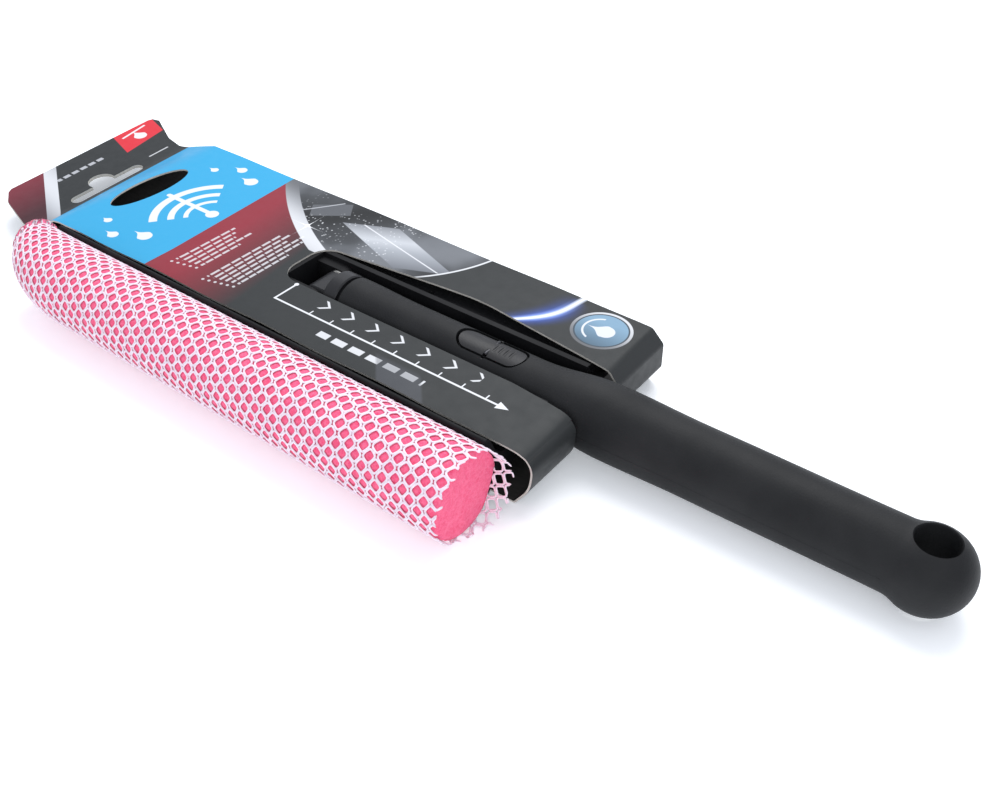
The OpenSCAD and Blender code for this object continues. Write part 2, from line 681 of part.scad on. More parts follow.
// rocker: it seats on its axle, with a thin rear half that the thumb presses
module thumb_latch() {
    z0 = axis_z + latch_low;
    color([0.1, 0.1, 0.11]) placed() difference() {
        intersection() {
            translate([0, 0, axis_z]) linear_extrude(latch_top + 1) stadium(latch_x0, latch_x1, latch_w);
            rod_x(latch_x0 - 1, latch_len + 2, latch_top);
            along_y(-latch_w, 2 * latch_w)
                polygon([[latch_x0 - 1, z0 + 0.8], [latch_x - 4, z0], [latch_x + axle_d, z0],
                         [rear_x0, axis_z + rear_z0], [latch_x1 + 1, axis_z + rear_low],
                         [latch_x1 + 1, axis_z + bulb_r], [latch_x0 - 1, axis_z + bulb_r]]);
        }
        // seat of the brake pad, and thumb grooves across the rear half
        translate([pad_x - pad_len / 2, -pad_w / 2, axis_z]) cube([pad_len, pad_w, latch_low + 1.2]);
        for (i = [0 : 3])
            rod_y_at(latch_x1 - 5 - i * 2.2, axis_z + latch_top + 0.35, -latch_w, 2 * latch_w, 0.7);
        rod_y_at(latch_x, axis_z + axle_z, -latch_w, 2 * latch_w, axle_d / 2 + run_gap);
    }
}

// pad that the latch presses on the inner tube
module brake_pad() {
    color([0.3, 0.3, 0.31]) placed() difference() {
        translate([pad_x - pad_len / 2, -pad_w / 2, axis_z + tube_r * 0.6])
            cube([pad_len, pad_w, latch_low + 1.2 - tube_r * 0.6]);
        rod_x(pad_x - pad_len, 2 * pad_len, tube_r + run_gap);
    }
}

/* ---- card sleeve ---- */
// plan of the header and the two long panels
function card_plan() =
    concat([[wall_x + 1, -card_left], [wall_x + 1, card_right_end]],
           [for (p = header_neck) [-fold_x - p[0], card_right - p[1]]],
           [[-header_x + 13, header_y1 - 4], [-header_x + 5, header_y1]],
           [[-header_x + 1, header_y1 - 0.8], [-header_x, header_y1 - 3]],
           [[-header_x, -header_y0 + header_cut + 2], [-header_x + 1.5, -header_y0 + header_cut],
            [-header_x + header_cut - 3, -header_y0 + header_cut / 2 + 0.6],
            [-header_x + 2.5 * header_cut, -header_y0]]);

// slot that the handle lies in and folds out through, flared where the grip swells
module handle_slot() {
    flare_x = latch_x1 + 4;
    right = slot_r + slot_extra;
    polygon(concat(arc(slot_x0 + slot_round, -slot_r + slot_round, slot_round, 180, 270),
                   [[flare_x, -slot_r], [swell_x - 8, -slot_wide], [wall_x + 2, -slot_wide],
                    [wall_x + 2, slot_wide], [swell_x - 8, slot_wide]],
                   [for (p = [[-4, 0.72], [-20, 1], [-36, 0.86]]) [latch_x + p[0], right + slot_bow * p[1]]],
                   arc(slot_x0 + slot_round, right - slot_round, slot_round, 90, 180)));
}

module euro_slot() {
    translate([-euro_x, hole_y]) {
        translate([-euro_w / 2, -euro_len / 2 + euro_w / 2]) square([euro_w, euro_len - euro_w]);
        for (s = [-1, 1]) translate([0, s * (euro_len - euro_w) / 2]) circle(r = euro_w / 2);
        translate([-euro_w / 2 - 1.4, 0]) circle(r = euro_hump_d / 2);
    }
}

// oval from four arcs: two small at its ends, two large along its sides
module finger_hole() {
    a = finger_len / 2;
    b = finger_w / 2;
    polygon([for (i = [0 : 47]) [-finger_x + b * cos(i * 7.5), hole_y + a * sin(i * 7.5)]]);
}

// side view of a card strip of one thickness that follows a line from above
module front_strip() {
    z = card_h;
    polygon([[-sheet_x0, header_z], [-fold_x - slope_len, header_z], [-fold_x, z], [bend_x, z],
             [bend_x, z - card_t], [-fold_x, z - card_t], [-fold_x - slope_len, header_z - card_t],
             [-sheet_x0, header_z - card_t]]);
}

module card_front() {
    color([0.22, 0.23, 0.24]) placed() intersection() {
        along_y(-sheet_w / 2, sheet_w) front_strip();
        linear_extrude(card_h + 1) difference() {
            polygon(card_plan());
            handle_slot();
            euro_slot();
            finger_hole();
        }
    }
}

// end wall: rounded over from the front panel, then down to the ground, notched for the handle
module card_end() {
    z = card_h - bend_r;
    color([0.27, 0.28, 0.29]) placed() difference() {
        intersection() {
            along_y(-sheet_w / 2, sheet_w) difference() {
                union() {
                    intersection() {
                        translate([bend_x, z]) circle(r = bend_r);
                        translate([bend_x, z]) square(bend_r + 1);
                    }
                    translate([bend_x, card_t]) square([bend_r, z - card_t]);
                }
                translate([bend_x, z]) circle(r = bend_r - card_t);
                translate([bend_x - 1, 0]) square([bend_r - card_t + 1, z]);
            }
            linear_extrude(card_h + 1) polygon(card_plan());
        }
        translate([0, 0, -1]) linear_extrude(card_h + 2) handle_slot();
    }
}

module card_back() {
    low = header_z - card_t - back_gap;
    color([0.2, 0.2, 0.21]) placed() intersection() {
        along_y(-sheet_w / 2, sheet_w)
            polygon([[-sheet_x0, low], [-fold_x - slope_len, low], [-back_fold_x, card_t],
                     [wall_x, card_t], [wall_x, 0], [-back_fold_x, 0],
                     [-fold_x - slope_len - 1, low - card_t], [-sheet_x0, low - card_t]]);
        linear_extrude(card_h) difference() {
            polygon(card_plan());
            euro_slot();
        }
    }
}

head_frame();
blade_clamp();
clamp_screws();
rubber_blade();
foam_roll();
net_sleeve();
net_rod();
hinge_pin();
pin_clips();
friction_washers();
knuckle();
inner_tube();
tube_rivet();
end_bush();
grip();
collar();
latch_axle();
latch_spring();
thumb_latch();
brake_pad();
card_front();
card_end();
card_back();
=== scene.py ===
import math
import random

import bmesh
import bpy
from mathutils import Matrix, Vector, noise
from mathutils.geometry import delaunay_2d_cdt


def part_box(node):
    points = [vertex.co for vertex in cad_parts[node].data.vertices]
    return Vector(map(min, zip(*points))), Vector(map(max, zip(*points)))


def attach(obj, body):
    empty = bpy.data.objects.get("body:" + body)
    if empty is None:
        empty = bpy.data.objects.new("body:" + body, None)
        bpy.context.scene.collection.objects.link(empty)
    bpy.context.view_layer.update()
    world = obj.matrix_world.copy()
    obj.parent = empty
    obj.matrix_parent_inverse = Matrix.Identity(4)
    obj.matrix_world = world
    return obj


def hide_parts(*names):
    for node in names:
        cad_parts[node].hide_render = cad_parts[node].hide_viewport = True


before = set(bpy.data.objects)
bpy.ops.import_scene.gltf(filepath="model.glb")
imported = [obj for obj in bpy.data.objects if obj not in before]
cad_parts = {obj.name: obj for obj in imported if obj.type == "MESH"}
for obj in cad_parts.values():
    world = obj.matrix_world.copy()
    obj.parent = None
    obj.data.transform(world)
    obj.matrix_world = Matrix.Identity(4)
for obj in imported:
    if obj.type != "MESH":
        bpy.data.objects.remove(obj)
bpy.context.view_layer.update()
random.seed(11)

# every place below is in millimetres from the hinge: x along the handle, y across, z up from the ground
pinLow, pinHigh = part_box("hinge_pin")
hinge = (pinLow + pinHigh) / 2
mm = 0.001


def place(x, y, z):
    return Vector((hinge.x + x * mm, hinge.y + y * mm, z * mm))


def smooth(t):
    t = min(max(t, 0.0), 1.0)
    return t * t * (3 - 2 * t)


def blend(a, b, t):
    return a + (b - a) * t


# material helpers
def wire(tree, kind, inputs=None, **settings):
    node = tree.nodes.new("ShaderNode" + kind)
    for name, value in settings.items():
        setattr(node, name, value)
    for name, value in (inputs or {}).items():
        socket = node.inputs[name]
        if isinstance(value, Field):
            value = value.source
        if isinstance(value, bpy.types.NodeSocket):
            tree.links.new(value, socket)
        else:
            socket.default_value = value
    return node


class Field:
    # a shader value that can be written as arithmetic
    def __init__(self, tree, source):
        self.tree, self.source = tree, source

    def do(self, operation, *others):
        inputs = dict(enumerate((self, *others)))
        return Field(self.tree, wire(self.tree, "Math", inputs, operation=operation).outputs[0])

    def __add__(self, other):
        return self.do("ADD", other)

    def __sub__(self, other):
        return self.do("SUBTRACT", other)

    def __mul__(self, other):
        return self.do("MULTIPLY", other)

    def __truediv__(self, other):
        return self.do("DIVIDE", other)

    def size(self):
        return self.do("ABSOLUTE")

    def least(self, other):
        return self.do("MINIMUM", other)

    def most(self, other):
        return self.do("MAXIMUM", other)

    def clamped(self):
        return self.do("MAXIMUM", 0.0).do("MINIMUM", 1.0)

    def under(self, limit, soft=0.12):
        # 1 where the value is under the limit, with a soft edge in millimetres
        return ((self - limit) * (-1 / soft) + 0.5).clamped()

    def over(self, limit, soft=0.12):
        return ((self - limit) * (1 / soft) + 0.5).clamped()

    def between(self, low, high, soft=0.12):
        return self.over(low, soft) * self.under(high, soft)


def mixed(tree, amount, first, second):
    node = wire(tree, "Mix", {0: amount}, data_type="RGBA")
    for socket, value in ((node.inputs[6], first), (node.inputs[7], second)):
        if isinstance(value, bpy.types.NodeSocket):
            tree.links.new(value, socket)
        else:
            socket.default_value = (*value, 1)
    return node.outputs[2]


def newMaterial(name, **sockets):
    material = bpy.data.materials.new(name)
    material.use_nodes = True
    tree = material.node_tree
    shader = tree.nodes["Principled BSDF"]
    for key, value in sockets.items():
        label = "".join(" " + c if c.isupper() else c for c in key)
        label = label[0].upper() + label[1:]
        shader.inputs[label.replace("Ior", "IOR")].default_value = value
    return material, tree, shader


def objectPoint(tree):
    return wire(tree, "TexCoord").outputs["Object"]


def grain(tree, scale, detail=3.0, roughness=0.55, vector=None, stretch=None):
    vector = vector or objectPoint(tree)
    if stretch:
        vector = wire(tree, "Mapping", {"Vector": vector, "Scale": stretch}).outputs[0]
    return wire(tree, "TexNoise", {"Vector": vector, "Scale": scale, "Detail": detail,
                                   "Roughness": roughness}).outputs["Fac"]


def stepped(tree, value, stops):
    ramp = wire(tree, "ValToRGB", {"Fac": value})
    elements = ramp.color_ramp.elements
    while len(elements) < len(stops):
        elements.new(0.5)
    for element, (position, colour) in zip(elements, stops):
        element.position = position
        element.color = (*colour, 1) if hasattr(colour, "__len__") else (colour, colour, colour, 1)
    return ramp.outputs["Color"]


def bumped(tree, shader, *layers):
    # each layer is (height, strength, distance in metres)
    normal = None
    for height, strength, distance in layers:
        inputs = {"Height": height, "Strength": strength, "Distance": distance}
        if normal:
            inputs["Normal"] = normal
        normal = wire(tree, "Bump", inputs).outputs["Normal"]
    tree.links.new(normal, shader.inputs["Normal"])


# plastics, rubber and metal of the carried-over pieces
plastics = {
    # name: dark colour, light colour, roughness low and high, size of the texture per metre, its depth
    "gripPlastic": dict(dark=(0.009, 0.0095, 0.0105), light=(0.014, 0.0145, 0.0155), rough=(0.52, 0.64),
                        texture=1900, depth=0.00006, shine=0.22),
    "collarPlastic": dict(dark=(0.01, 0.01, 0.0115), light=(0.016, 0.016, 0.018), rough=(0.34, 0.46),
                          texture=1300, depth=0.00003),
    # frame and clamp sit in the dark inside the card: their own black plastic, painted darker still as
    # painted shade
    "framePlasticAndShade": dict(dark=(0.005, 0.005, 0.006), light=(0.009, 0.009, 0.01), rough=(0.55, 0.68),
                         texture=1100, depth=0.00005, shine=0.16),
    "latchPlastic": dict(dark=(0.009, 0.009, 0.01), light=(0.014, 0.014, 0.016), rough=(0.36, 0.5),
                         texture=2200, depth=0.00004),
    "bladeRubber": dict(dark=(0.008, 0.008, 0.008), light=(0.016, 0.016, 0.016), rough=(0.5, 0.68),
                        texture=700, depth=0.00004),
    "padRubber": dict(dark=(0.05, 0.05, 0.052), light=(0.08, 0.08, 0.083), rough=(0.62, 0.8),
                      texture=1500, depth=0.00006),
    "palePlastic": dict(dark=(0.62, 0.61, 0.57), light=(0.72, 0.71, 0.67), rough=(0.3, 0.42),
                        texture=900, depth=0.00003),
}


def plasticMaterial(name, dark, light, rough, texture, depth, shine=0.34):
    material, tree, shader = newMaterial(name, specularIorLevel=shine)
    cloudy = grain(tree, 60, 4)
    fine = grain(tree, texture, 2, 0.7)
    pits = wire(tree, "TexVoronoi", {"Vector": objectPoint(tree), "Scale": texture * 0.6}).outputs["Distance"]
    tree.links.new(stepped(tree, cloudy, [(0.35, dark), (0.65, light)]), shader.inputs["Base Color"])
    tree.links.new(stepped(tree, grain(tree, 35, 5), [(0.3, rough[0]), (0.7, rough[1])]),
                   shader.inputs["Roughness"])
    bumped(tree, shader, (cloudy, 0.15, 0.0002), (pits, 0.35, depth), (fine, 0.6, depth))
    return material


def metalMaterial(name, colour, rough, stretch):
    material, tree, shader = newMaterial(name, metallic=1.0)
    brushed = grain(tree, 900, 3, 0.6, stretch=stretch)
    stain = grain(tree, 90, 4)
    darker = tuple(c * 0.72 for c in colour)
    tree.links.new(stepped(tree, stain, [(0.3, darker), (0.6, colour)]), shader.inputs["Base Color"])
    tree.links.new(stepped(tree, brushed, [(0.2, rough * 0.8), (0.8, rough * 1.3)]),
                   shader.inputs["Roughness"])
    bumped(tree, shader, (brushed, 0.25, 0.00003))
    return material


finishes = {name: plasticMaterial(name, **values) for name, values in plastics.items()}
finishes["zincSteel"] = metalMaterial("zincSteel", (0.66, 0.67, 0.68), 0.3, (1, 1, 1))
finishes["springSteel"] = metalMaterial("springSteel", (0.58, 0.58, 0.6), 0.22, (0.1, 1, 1))
finishes["blackTube"] = metalMaterial("blackTube", (0.06, 0.06, 0.065), 0.34, (0.05, 1, 1))

finishOf = {
    "grip": "gripPlastic", "collar": "collarPlastic", "knuckle": "collarPlastic",
    "thumb_latch": "latchPlastic", "head_frame": "framePlasticAndShade", "blade_clamp": "framePlasticAndShade",
    "rubber_blade": "bladeRubber", "brake_pad": "padRubber", "net_rod": "palePlastic",
    "end_bush": "palePlastic", "friction_washers": "palePlastic", "hinge_pin": "zincSteel",
    "pin_clips": "zincSteel", "clamp_screws": "zincSteel", "tube_rivet": "zincSteel",
    "latch_axle": "blackTube", "latch_spring": "springSteel", "inner_tube": "blackTube",
}
for nodeName, finish in finishOf.items():
    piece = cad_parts[nodeName]
    if not piece.material_slots:
        piece.data.materials.append(None)
    for materialSlot in piece.material_slots:
        materialSlot.material = finishes[finish]
print("finishes on", len(finishOf), "carried-over pieces")


def newPiece(name, vertices, faces, material, body, isSmooth=True):
    mesh = bpy.data.meshes.new(name)
    mesh.from_pydata(vertices, [], faces)
    mesh.update()
    obj = bpy.data.objects.new(name, mesh)
    bpy.context.scene.collection.objects.link(obj)
    mesh.materials.append(material)
    mesh.polygons.foreach_set("use_smooth", [isSmooth] * len(mesh.polygons))
    if body:
        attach(obj, body)
    return obj


def faceOutward(obj, weld=0.0):
    mesh = bmesh.new()
    mesh.from_mesh(obj.data)
    if weld:
        bmesh.ops.remove_doubles(mesh, verts=mesh.verts, dist=weld)
    bmesh.ops.recalc_face_normals(mesh, faces=mesh.faces)
    mesh.to_mesh(obj.data)
    mesh.free()


# the roll: shared outline of the foam and of the net round it
roll = {
    "axisY": -57.6, "axisZ": 16.0, "radius": 16.0,
    "tuckedEnd": -105.5, "cutEnd": 113.5, "taper": 34.0, "tuckRadius": 9.5, "tuckRise": 0.84, "tuckLean": 0.7,
    "netThickness": 0.8,
}
# hexagonal net: a step along shifts it round the roll and a step round slants it along; aroundCount steps go
# round, and their slant adds up to alongPerTurn steps along, so that the net closes on itself
net = {
    "shift": -2.05, "slant": 1.64, "aroundCount": 20, "alongPerTurn": 10,
    "yarnWidth": 0.8, "yarnHeight": 0.52, "inset": 0.22, "lift": 0.1, "roundness": 7.0,
    "loopPoints": 20, "yarnSides": 6, "tuckHole": 2.6,
}
netLine = roll["radius"] - roll["netThickness"] / 2
netRound = 2 * math.pi * netLine
stepA = Vector((net["slant"] * net["aroundCount"] / net["alongPerTurn"], net["shift"]))
stepB = Vector((net["slant"], (netRound + net["alongPerTurn"] * stepA.y) / net["aroundCount"]))


def rollRadius(x):
    t = min(max((x - roll["tuckedEnd"]) / roll["taper"], 0.0), 1.0)
    return roll["tuckRadius"] + (roll["radius"] - roll["tuckRadius"]) * math.sqrt(1 - (1 - t) ** 2)


# outline from the cut end to the tucked end, as [length along the net, x, radius]
outline = []
firstX = roll["cutEnd"] + 14                             # past the longest thread of the loose edge
stationX = [firstX - i * 0.5 for i in range(int((firstX - roll["tuckedEnd"]) * 2) + 1)]
for x in stationX + [roll["tuckedEnd"] + 0.3, roll["tuckedEnd"] + 0.1, roll["tuckedEnd"]]:
    outline.append([0.0, x, rollRadius(x)])
for i in range(1, 30):
    outline.append([0.0, roll["tuckedEnd"], roll["tuckRadius"] * (1 - i / 30)])
for last, this in zip(outline, outline[1:]):
    this[0] = last[0] + math.hypot(this[1] - last[1], this[2] - last[2])
outlineLength = outline[-1][0]


def onOutline(length):
    low, high = 0, len(outline) - 1
    while high - low > 1:
        middle = (low + high) // 2
        low, high = (middle, high) if outline[middle][0] <= length else (low, middle)
    a, b = outline[low], outline[high]
    t = (length - a[0]) / max(b[0] - a[0], 1e-9)
    return blend(a[1], b[1], t), blend(a[2], b[2], t), (b[1] - a[1], b[2] - a[2])


def onRoll(length, around, lift=0.0):
    # a point on the roll: length from the cut end's side, distance round it, and lift off the net's line
    x, radius, (dx, dr) = onOutline(length)
    run = math.hypot(dx, dr) or 1.0
    outX, outR = dr / run, -dx / run           # outward from the outline
    inset = roll["netThickness"] / 2
    return x + outX * (lift - inset), radius + outR * (lift - inset), around / netLine


# near its cut end the roll is pressed flat on the side that faces the sleeve
pressed = {"facing": -24.0, "reach": 13.1, "length": 26.0, "left": 0.12}


def rollPoint(x, radius, angle):
    facing = math.cos(angle - math.radians(pressed["facing"]))
    limit = pressed["reach"] / max(facing, 0.2)
    share = smooth((x - roll["cutEnd"] + pressed["length"]) / pressed["length"])
    if facing > 0.2 and radius > limit:
        radius = blend(radius, limit + (radius - limit) * pressed["left"], share)
    slack = roll["radius"] - rollRadius(x)               # the tucked end is drawn up towards the frame
    return place(x, roll["axisY"] + slack * roll["tuckLean"] + radius * math.cos(angle),
                 roll["axisZ"] + slack * roll["tuckRise"] + radius * math.sin(angle))


def hexReach(theta, neighbours, inset):
    # how far the rounded hexagon between the neighbours reaches in one direction
    total = 0.0
    for neighbour in neighbours:
        facing = math.cos(theta - math.atan2(neighbour.y, neighbour.x))
        if facing > 0:
            total += (facing / (neighbour.length / 2 - inset)) ** net["roundness"]
    return total ** (-1 / net["roundness"])


def wireTube(points, outwards, width, height, sides, closed, vertices, faces):
    # a yarn along points, flat to the surface whose outward directions are given
    base, count = len(vertices), len(points)
    for i, (point, out) in enumerate(zip(points, outwards)):
        ahead = points[(i + 1) % count] if closed or i + 1 < count else point
        behind = points[i - 1] if closed or i else point
        along = (ahead - behind).normalized()
        side = along.cross(out).normalized()
        up = side.cross(along)
        thin = 1.0 if closed or 0 < i < count - 1 else 0.45
        for k in range(sides):
            turn = 2 * math.pi * (k + 0.5) / sides
            vertices.append(point + side * (math.cos(turn) * width / 2 * thin * mm)
                            + up * (math.sin(turn) * height / 2 * thin * mm))
    for i in range(count if closed else count - 1):
        a, b = base + i * sides, base + ((i + 1) % count) * sides
        for k in range(sides):
            m = (k + 1) % sides
            faces.append((a + k, a + m, b + m, b + k))
    if not closed:
        faces.append(tuple(base + k for k in range(sides)))
        faces.append(tuple(base + (count - 1) * sides + k for k in reversed(range(sides))))


# the net's loose edge past the foam's cut is longest on the handle's side and underneath
edge = {
    "short": 1.6, "long": 7.4, "longAt": -22.0, "ragged": 1.6, "flare": 0.06, "foldIn": 0.3,
    "ripple": 0.35, "clearOfGround": 0.45, "stray": 0.1,
}


def edgeReach(angle):
    share = max(0.0, math.cos(angle - math.radians(edge["longAt"]))) ** 1.2
    return roll["cutEnd"] + blend(edge["short"], edge["long"], share)


def loosened(x, radius, angle):
    # past the foam's cut nothing holds the net: it flares on its long side and turns in on the other
    past = x - roll["cutEnd"]
    if past <= 0:
        return x, radius, angle
    share = max(0.0, math.cos(angle - math.radians(edge["longAt"])))
    radius += past * blend(-edge["foldIn"] * smooth(past / 4), edge["flare"], smooth(share))
    radius += edge["ripple"] * math.sin(angle * 9 + x * 1.3) * min(past / 4, 1)
    if math.sin(angle) < 0:                              # nothing hangs into the ground
        radius = min(radius, (roll["axisZ"] - edge["clearOfGround"]) / max(-math.sin(angle), 1e-3))
    return x, radius, angle


def netMaterial():
    material, tree, shader = newMaterial("netYarn", roughness=0.62, specularIorLevel=0.3,
                                         sheenWeight=0.35, sheenRoughness=0.5,
                                         subsurfaceWeight=0.12, subsurfaceScale=0.0006,
                                         subsurfaceRadius=(1.0, 0.75, 0.8))
    twist = {"Vector": objectPoint(tree), "Scale": 1500, "Distortion": 3.5, "Detail": 2, "Detail Scale": 2.0}
    filament = wire(tree, "TexWave", twist, bands_direction="DIAGONAL").outputs["Fac"]
    fuzz = grain(tree, 3800, 3, 0.7)
    # the yarn itself is white; the pink tint in both tones is painted light from the pink foam under it
    yarnWhiteWithFoamLight = [(0.3, (0.84, 0.69, 0.79)), (0.65, (0.92, 0.8, 0.89))]
    tree.links.new(stepped(tree, grain(tree, 240, 4), yarnWhiteWithFoamLight), shader.inputs["Base Color"])
    bumped(tree, shader, (filament, 0.5, 0.00008), (fuzz, 0.5, 0.00006))
    return material


def makeNet():
    neighbours = [stepA, stepA + stepB, stepB, -stepA, -stepA - stepB, -stepB]
    loop = []
    for i in range(net["loopPoints"]):
        theta = 2 * math.pi * i / net["loopPoints"]
        reach = hexReach(theta, neighbours, net["inset"])
        lift = net["lift"] * math.cos(3 * (theta - math.atan2(stepA.y, stepA.x)))
        loop.append((reach * math.cos(theta), reach * math.sin(theta), lift))
    vertices, faces = [], []
    steps = int(outlineLength / stepA.x) + 4
    for j in range(net["aroundCount"]):
        for i in range(-12, steps + 12):
            centre = stepA * i + stepB * j
            if not 2.0 < centre.x < outlineLength - net["tuckHole"]:
                continue
            stray = (random.gauss(0, edge["stray"]), random.gauss(0, edge["stray"]))
            points, outwards, kept = [], [], []
            for dx, dy, lift in loop:
                length = min(max(centre.x + dx + stray[0], 0.0), outlineLength - 0.3)
                spot = loosened(*onRoll(length, centre.y + dy + stray[1], lift))
                ahead = onRoll(length, centre.y + dy, lift + 1.0)
                points.append(rollPoint(*spot))
                here = onRoll(length, centre.y + dy, lift)
                outwards.append((rollPoint(*ahead) - rollPoint(*here)).normalized())
                ragged = edge["ragged"] * noise.noise(Vector((spot[2] * 7, 0.3 * i, 4.0)))
                kept.append(spot[0] < edgeReach(spot[2]) + ragged)
            if not any(kept):
                continue
            if all(kept):
                wireTube(points, outwards, net["yarnWidth"], net["yarnHeight"], net["yarnSides"], True,
                         vertices, faces)
                continue
            start = next(k for k in range(len(kept)) if kept[k] and not kept[k - 1])
            run = []
            for k in range(len(kept)):
                m = (start + k) % len(kept)
                if not kept[m]:
                    break
                run.append(m)
            if len(run) > 3:
                wireTube([points[m] for m in run], [outwards[m] for m in run], net["yarnWidth"],
                         net["yarnHeight"], net["yarnSides"], False, vertices, faces)
    sleeve = newPiece("netSleeve", vertices, faces, netMaterial(), "head")
    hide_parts("net_sleeve")
    print("net:", len(faces), "faces")
    return sleeve


foam = {
    "radius": 15.15, "bulge": 0.42, "bulgeReach": 1.9, "pore": 0.09, "highest": 0.62,
    "stepAlong": 0.9, "around": 112, "rim": 0.7, "faceRings": 15,
    "uneven": ((0.25, 130), (0.1, 700), (0.05, 1900)),   # the cut face: depth and fineness of its unevenness
}


def foamMaterial():
    material, tree, shader = newMaterial("pinkFoam", roughness=0.86, specularIorLevel=0.22,
                                         subsurfaceWeight=0.2, subsurfaceScale=0.0018,
                                         subsurfaceRadius=(1.0, 0.25, 0.35), sheenWeight=0.12)
    point = objectPoint(tree)
    cells = wire(tree, "TexVoronoi", {"Vector": point, "Scale": 1500}).outputs["Distance"]
    bigCells = wire(tree, "TexVoronoi", {"Vector": point, "Scale": 560}).outputs["Distance"]
    pores = (Field(tree, cells) * 0.7 + Field(tree, bigCells) * 0.5).clamped()
    tone = (pores * 0.75 + Field(tree, grain(tree, 260, 4)) * 0.35).clamped()
    tree.links.new(stepped(tree, tone.source, [(0.08, (0.7, 0.04, 0.12)), (0.4, (0.86, 0.085, 0.2)),
                                               (0.8, (0.93, 0.15, 0.28))]), shader.inputs["Base Color"])
    bumped(tree, shader, (bigCells, 0.5, 0.0003), (cells, 0.6, 0.00018))
    return material


def makeFoam():
    # the foam swells into the net's holes and is pressed in under its yarn
    invert = Matrix(((stepA.x, stepB.x), (stepA.y, stepB.y))).inverted()

    def swell(length, around):
        cell = invert @ Vector((length, around))
        nearest = min((Vector((length, around)) - stepA * i - stepB * j).length
                      for i in (math.floor(cell.x), math.floor(cell.x) + 1)
                      for j in (math.floor(cell.y), math.floor(cell.y) + 1))
        return foam["bulge"] * (1 - smooth(nearest / foam["bulgeReach"]))

    start = next(row[0] for row in outline if row[1] <= roll["cutEnd"] + 0.01)
    count = int((outlineLength - start) / foam["stepAlong"])
    rows = [start + i * foam["stepAlong"] for i in range(count)]
    vertices, faces = [], []
    around = foam["around"]
    inset = roll["netThickness"] / 2 - (roll["radius"] - foam["radius"])

    def ring(length, shrink, xShift, quiet):
        for k in range(around):
            turn = 2 * math.pi * k / around * netLine
            x, radius, angle = onRoll(length, turn, inset)
            lift = (0 if quiet else swell(length, turn))
            point = rollPoint(x, 1, angle)
            lift += foam["pore"] * noise.noise(point * 900) + 0.12 * noise.noise(point * 120)
            lift = min(lift, foam["highest"])
            x, radius, angle = onRoll(length, turn, inset + lift)
            vertices.append(rollPoint(x + xShift, radius - shrink, angle))

    # cut face: rings from the middle out, then the rim, then along the roll
    for i in range(foam["faceRings"]):
        share = (i + 0.3) / foam["faceRings"]
        for k in range(around):
            angle = 2 * math.pi * k / around
            radius = (foam["radius"] - foam["rim"]) * share
            point = rollPoint(roll["cutEnd"], radius, angle)
            uneven = sum(depth * noise.noise(point * size) for depth, size in foam["uneven"])
            vertices.append(rollPoint(roll["cutEnd"] + uneven + 0.25 * (1 - share ** 2), radius, angle))
    for shrink, xShift in ((foam["rim"] * 0.3, -0.12), (0.0, -foam["rim"])):
        ring(start, shrink, xShift, True)
    for length in rows[1:]:
        ring(length, 0.0, 0.0, False)
    total = len(vertices) // around
    for i in range(total - 1):
        for k in range(around):
            m = (k + 1) % around
            faces.append((i * around + k, i * around + m, (i + 1) * around + m, (i + 1) * around + k))
    faces.append(tuple(reversed(range(around))))
    faces.append(tuple((total - 1) * around + k for k in range(around)))
    body = newPiece("foamRoll", vertices, faces, foamMaterial(), "head")
    faceOutward(body)
    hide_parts("foam_roll")
    print("foam:", len(faces), "faces")


makeFoam()
netSleeve = makeNet()


# the printed card: one sheet, folded round the head
card = {
    "thick": 0.7, "left": -38.0, "rightAtEnd": 44.0, "rightAtFold": 47.0, "top": 22.4,
    "bendX": 112.0, "foldX": -115.0, "slopeEnd": -135.0, "headerZ": 14.0, "headerX": -172.0,
    "headerGap": 0.02,
    "backFoldX": -109.0, "twist": 0.06, "mesh": 4.0,
    "slotLow": -11.4, "slotHigh": 14.6, "slotBack": -13.6, "slotRound": 9.0, "slotWide": 13.5,
    "flareX": 97.5, "swellX": 128.0, "bow": [(76, 18.78), (60, 20.4), (44, 19.59)],
    "barX": -139.0, "barW": 6.0, "barLen": 38.0, "holeY": 3.6,
    "humpR": 6.0, "humpOut": 1.4, "humpMeet": 1.6, "humpAngle": 75,
    "ovalX": -107.0, "ovalLen": 40.0, "ovalW": 14.0,
}
halfCard = card["thick"] / 2
# side view of the end wall: rounded over on the roll's side, scored and folded on the blade's side
wallTop, wallFoot = (card["bendX"], card["top"] - halfCard), (card["bendX"], halfCard)
wallLeft = [wallTop, (119.6, 21.8), (124.4, 19.0), (123.3, 8.6), (117.6, halfCard), wallFoot]
wallRight = [wallTop, (117.6, 21.9), (122.4, 17.2), (122.6, 7.6), (118.2, halfCard), wallFoot]
wallRounds = [(3.4, 0.9), (4.2, 0.8), (4.2, 0.8), (0.9, 0.7)]          # left and right, at each corner


def roundedPath(points, radii, steps=6):
    path = [Vector(points[0])]
    for i, radius in enumerate(radii):
        before, corner, after = (Vector(points[i + k]) for k in range(3))
        start = corner + (before - corner).normalized() * radius
        end = corner + (after - corner).normalized() * radius
        for k in range(steps + 1):
            t = k / steps
            path.append(start * (1 - t) ** 2 + corner * 2 * t * (1 - t) + end * t ** 2)
    path.append(Vector(points[-1]))
    return path


leftWall = roundedPath(wallLeft, [r[0] for r in wallRounds])
rightWall = roundedPath(wallRight, [r[1] for r in wallRounds])
wallSheet = [0.0]                                        # length of sheet at each station of the wall
for a, b in zip(rightWall, rightWall[1:]):
    wallSheet.append(wallSheet[-1] + (b - a).length)
wallStart = card["bendX"]
wallEnd = wallStart + wallSheet[-1]


waves = [dict(zip(("from", "width", "height", "rate", "phase", "last"), values))
         for values in ((-22, -16, 0.3, 0.11, 1.0, 110), (28, 18, 0.2, 0.06, 2.4, 100))]


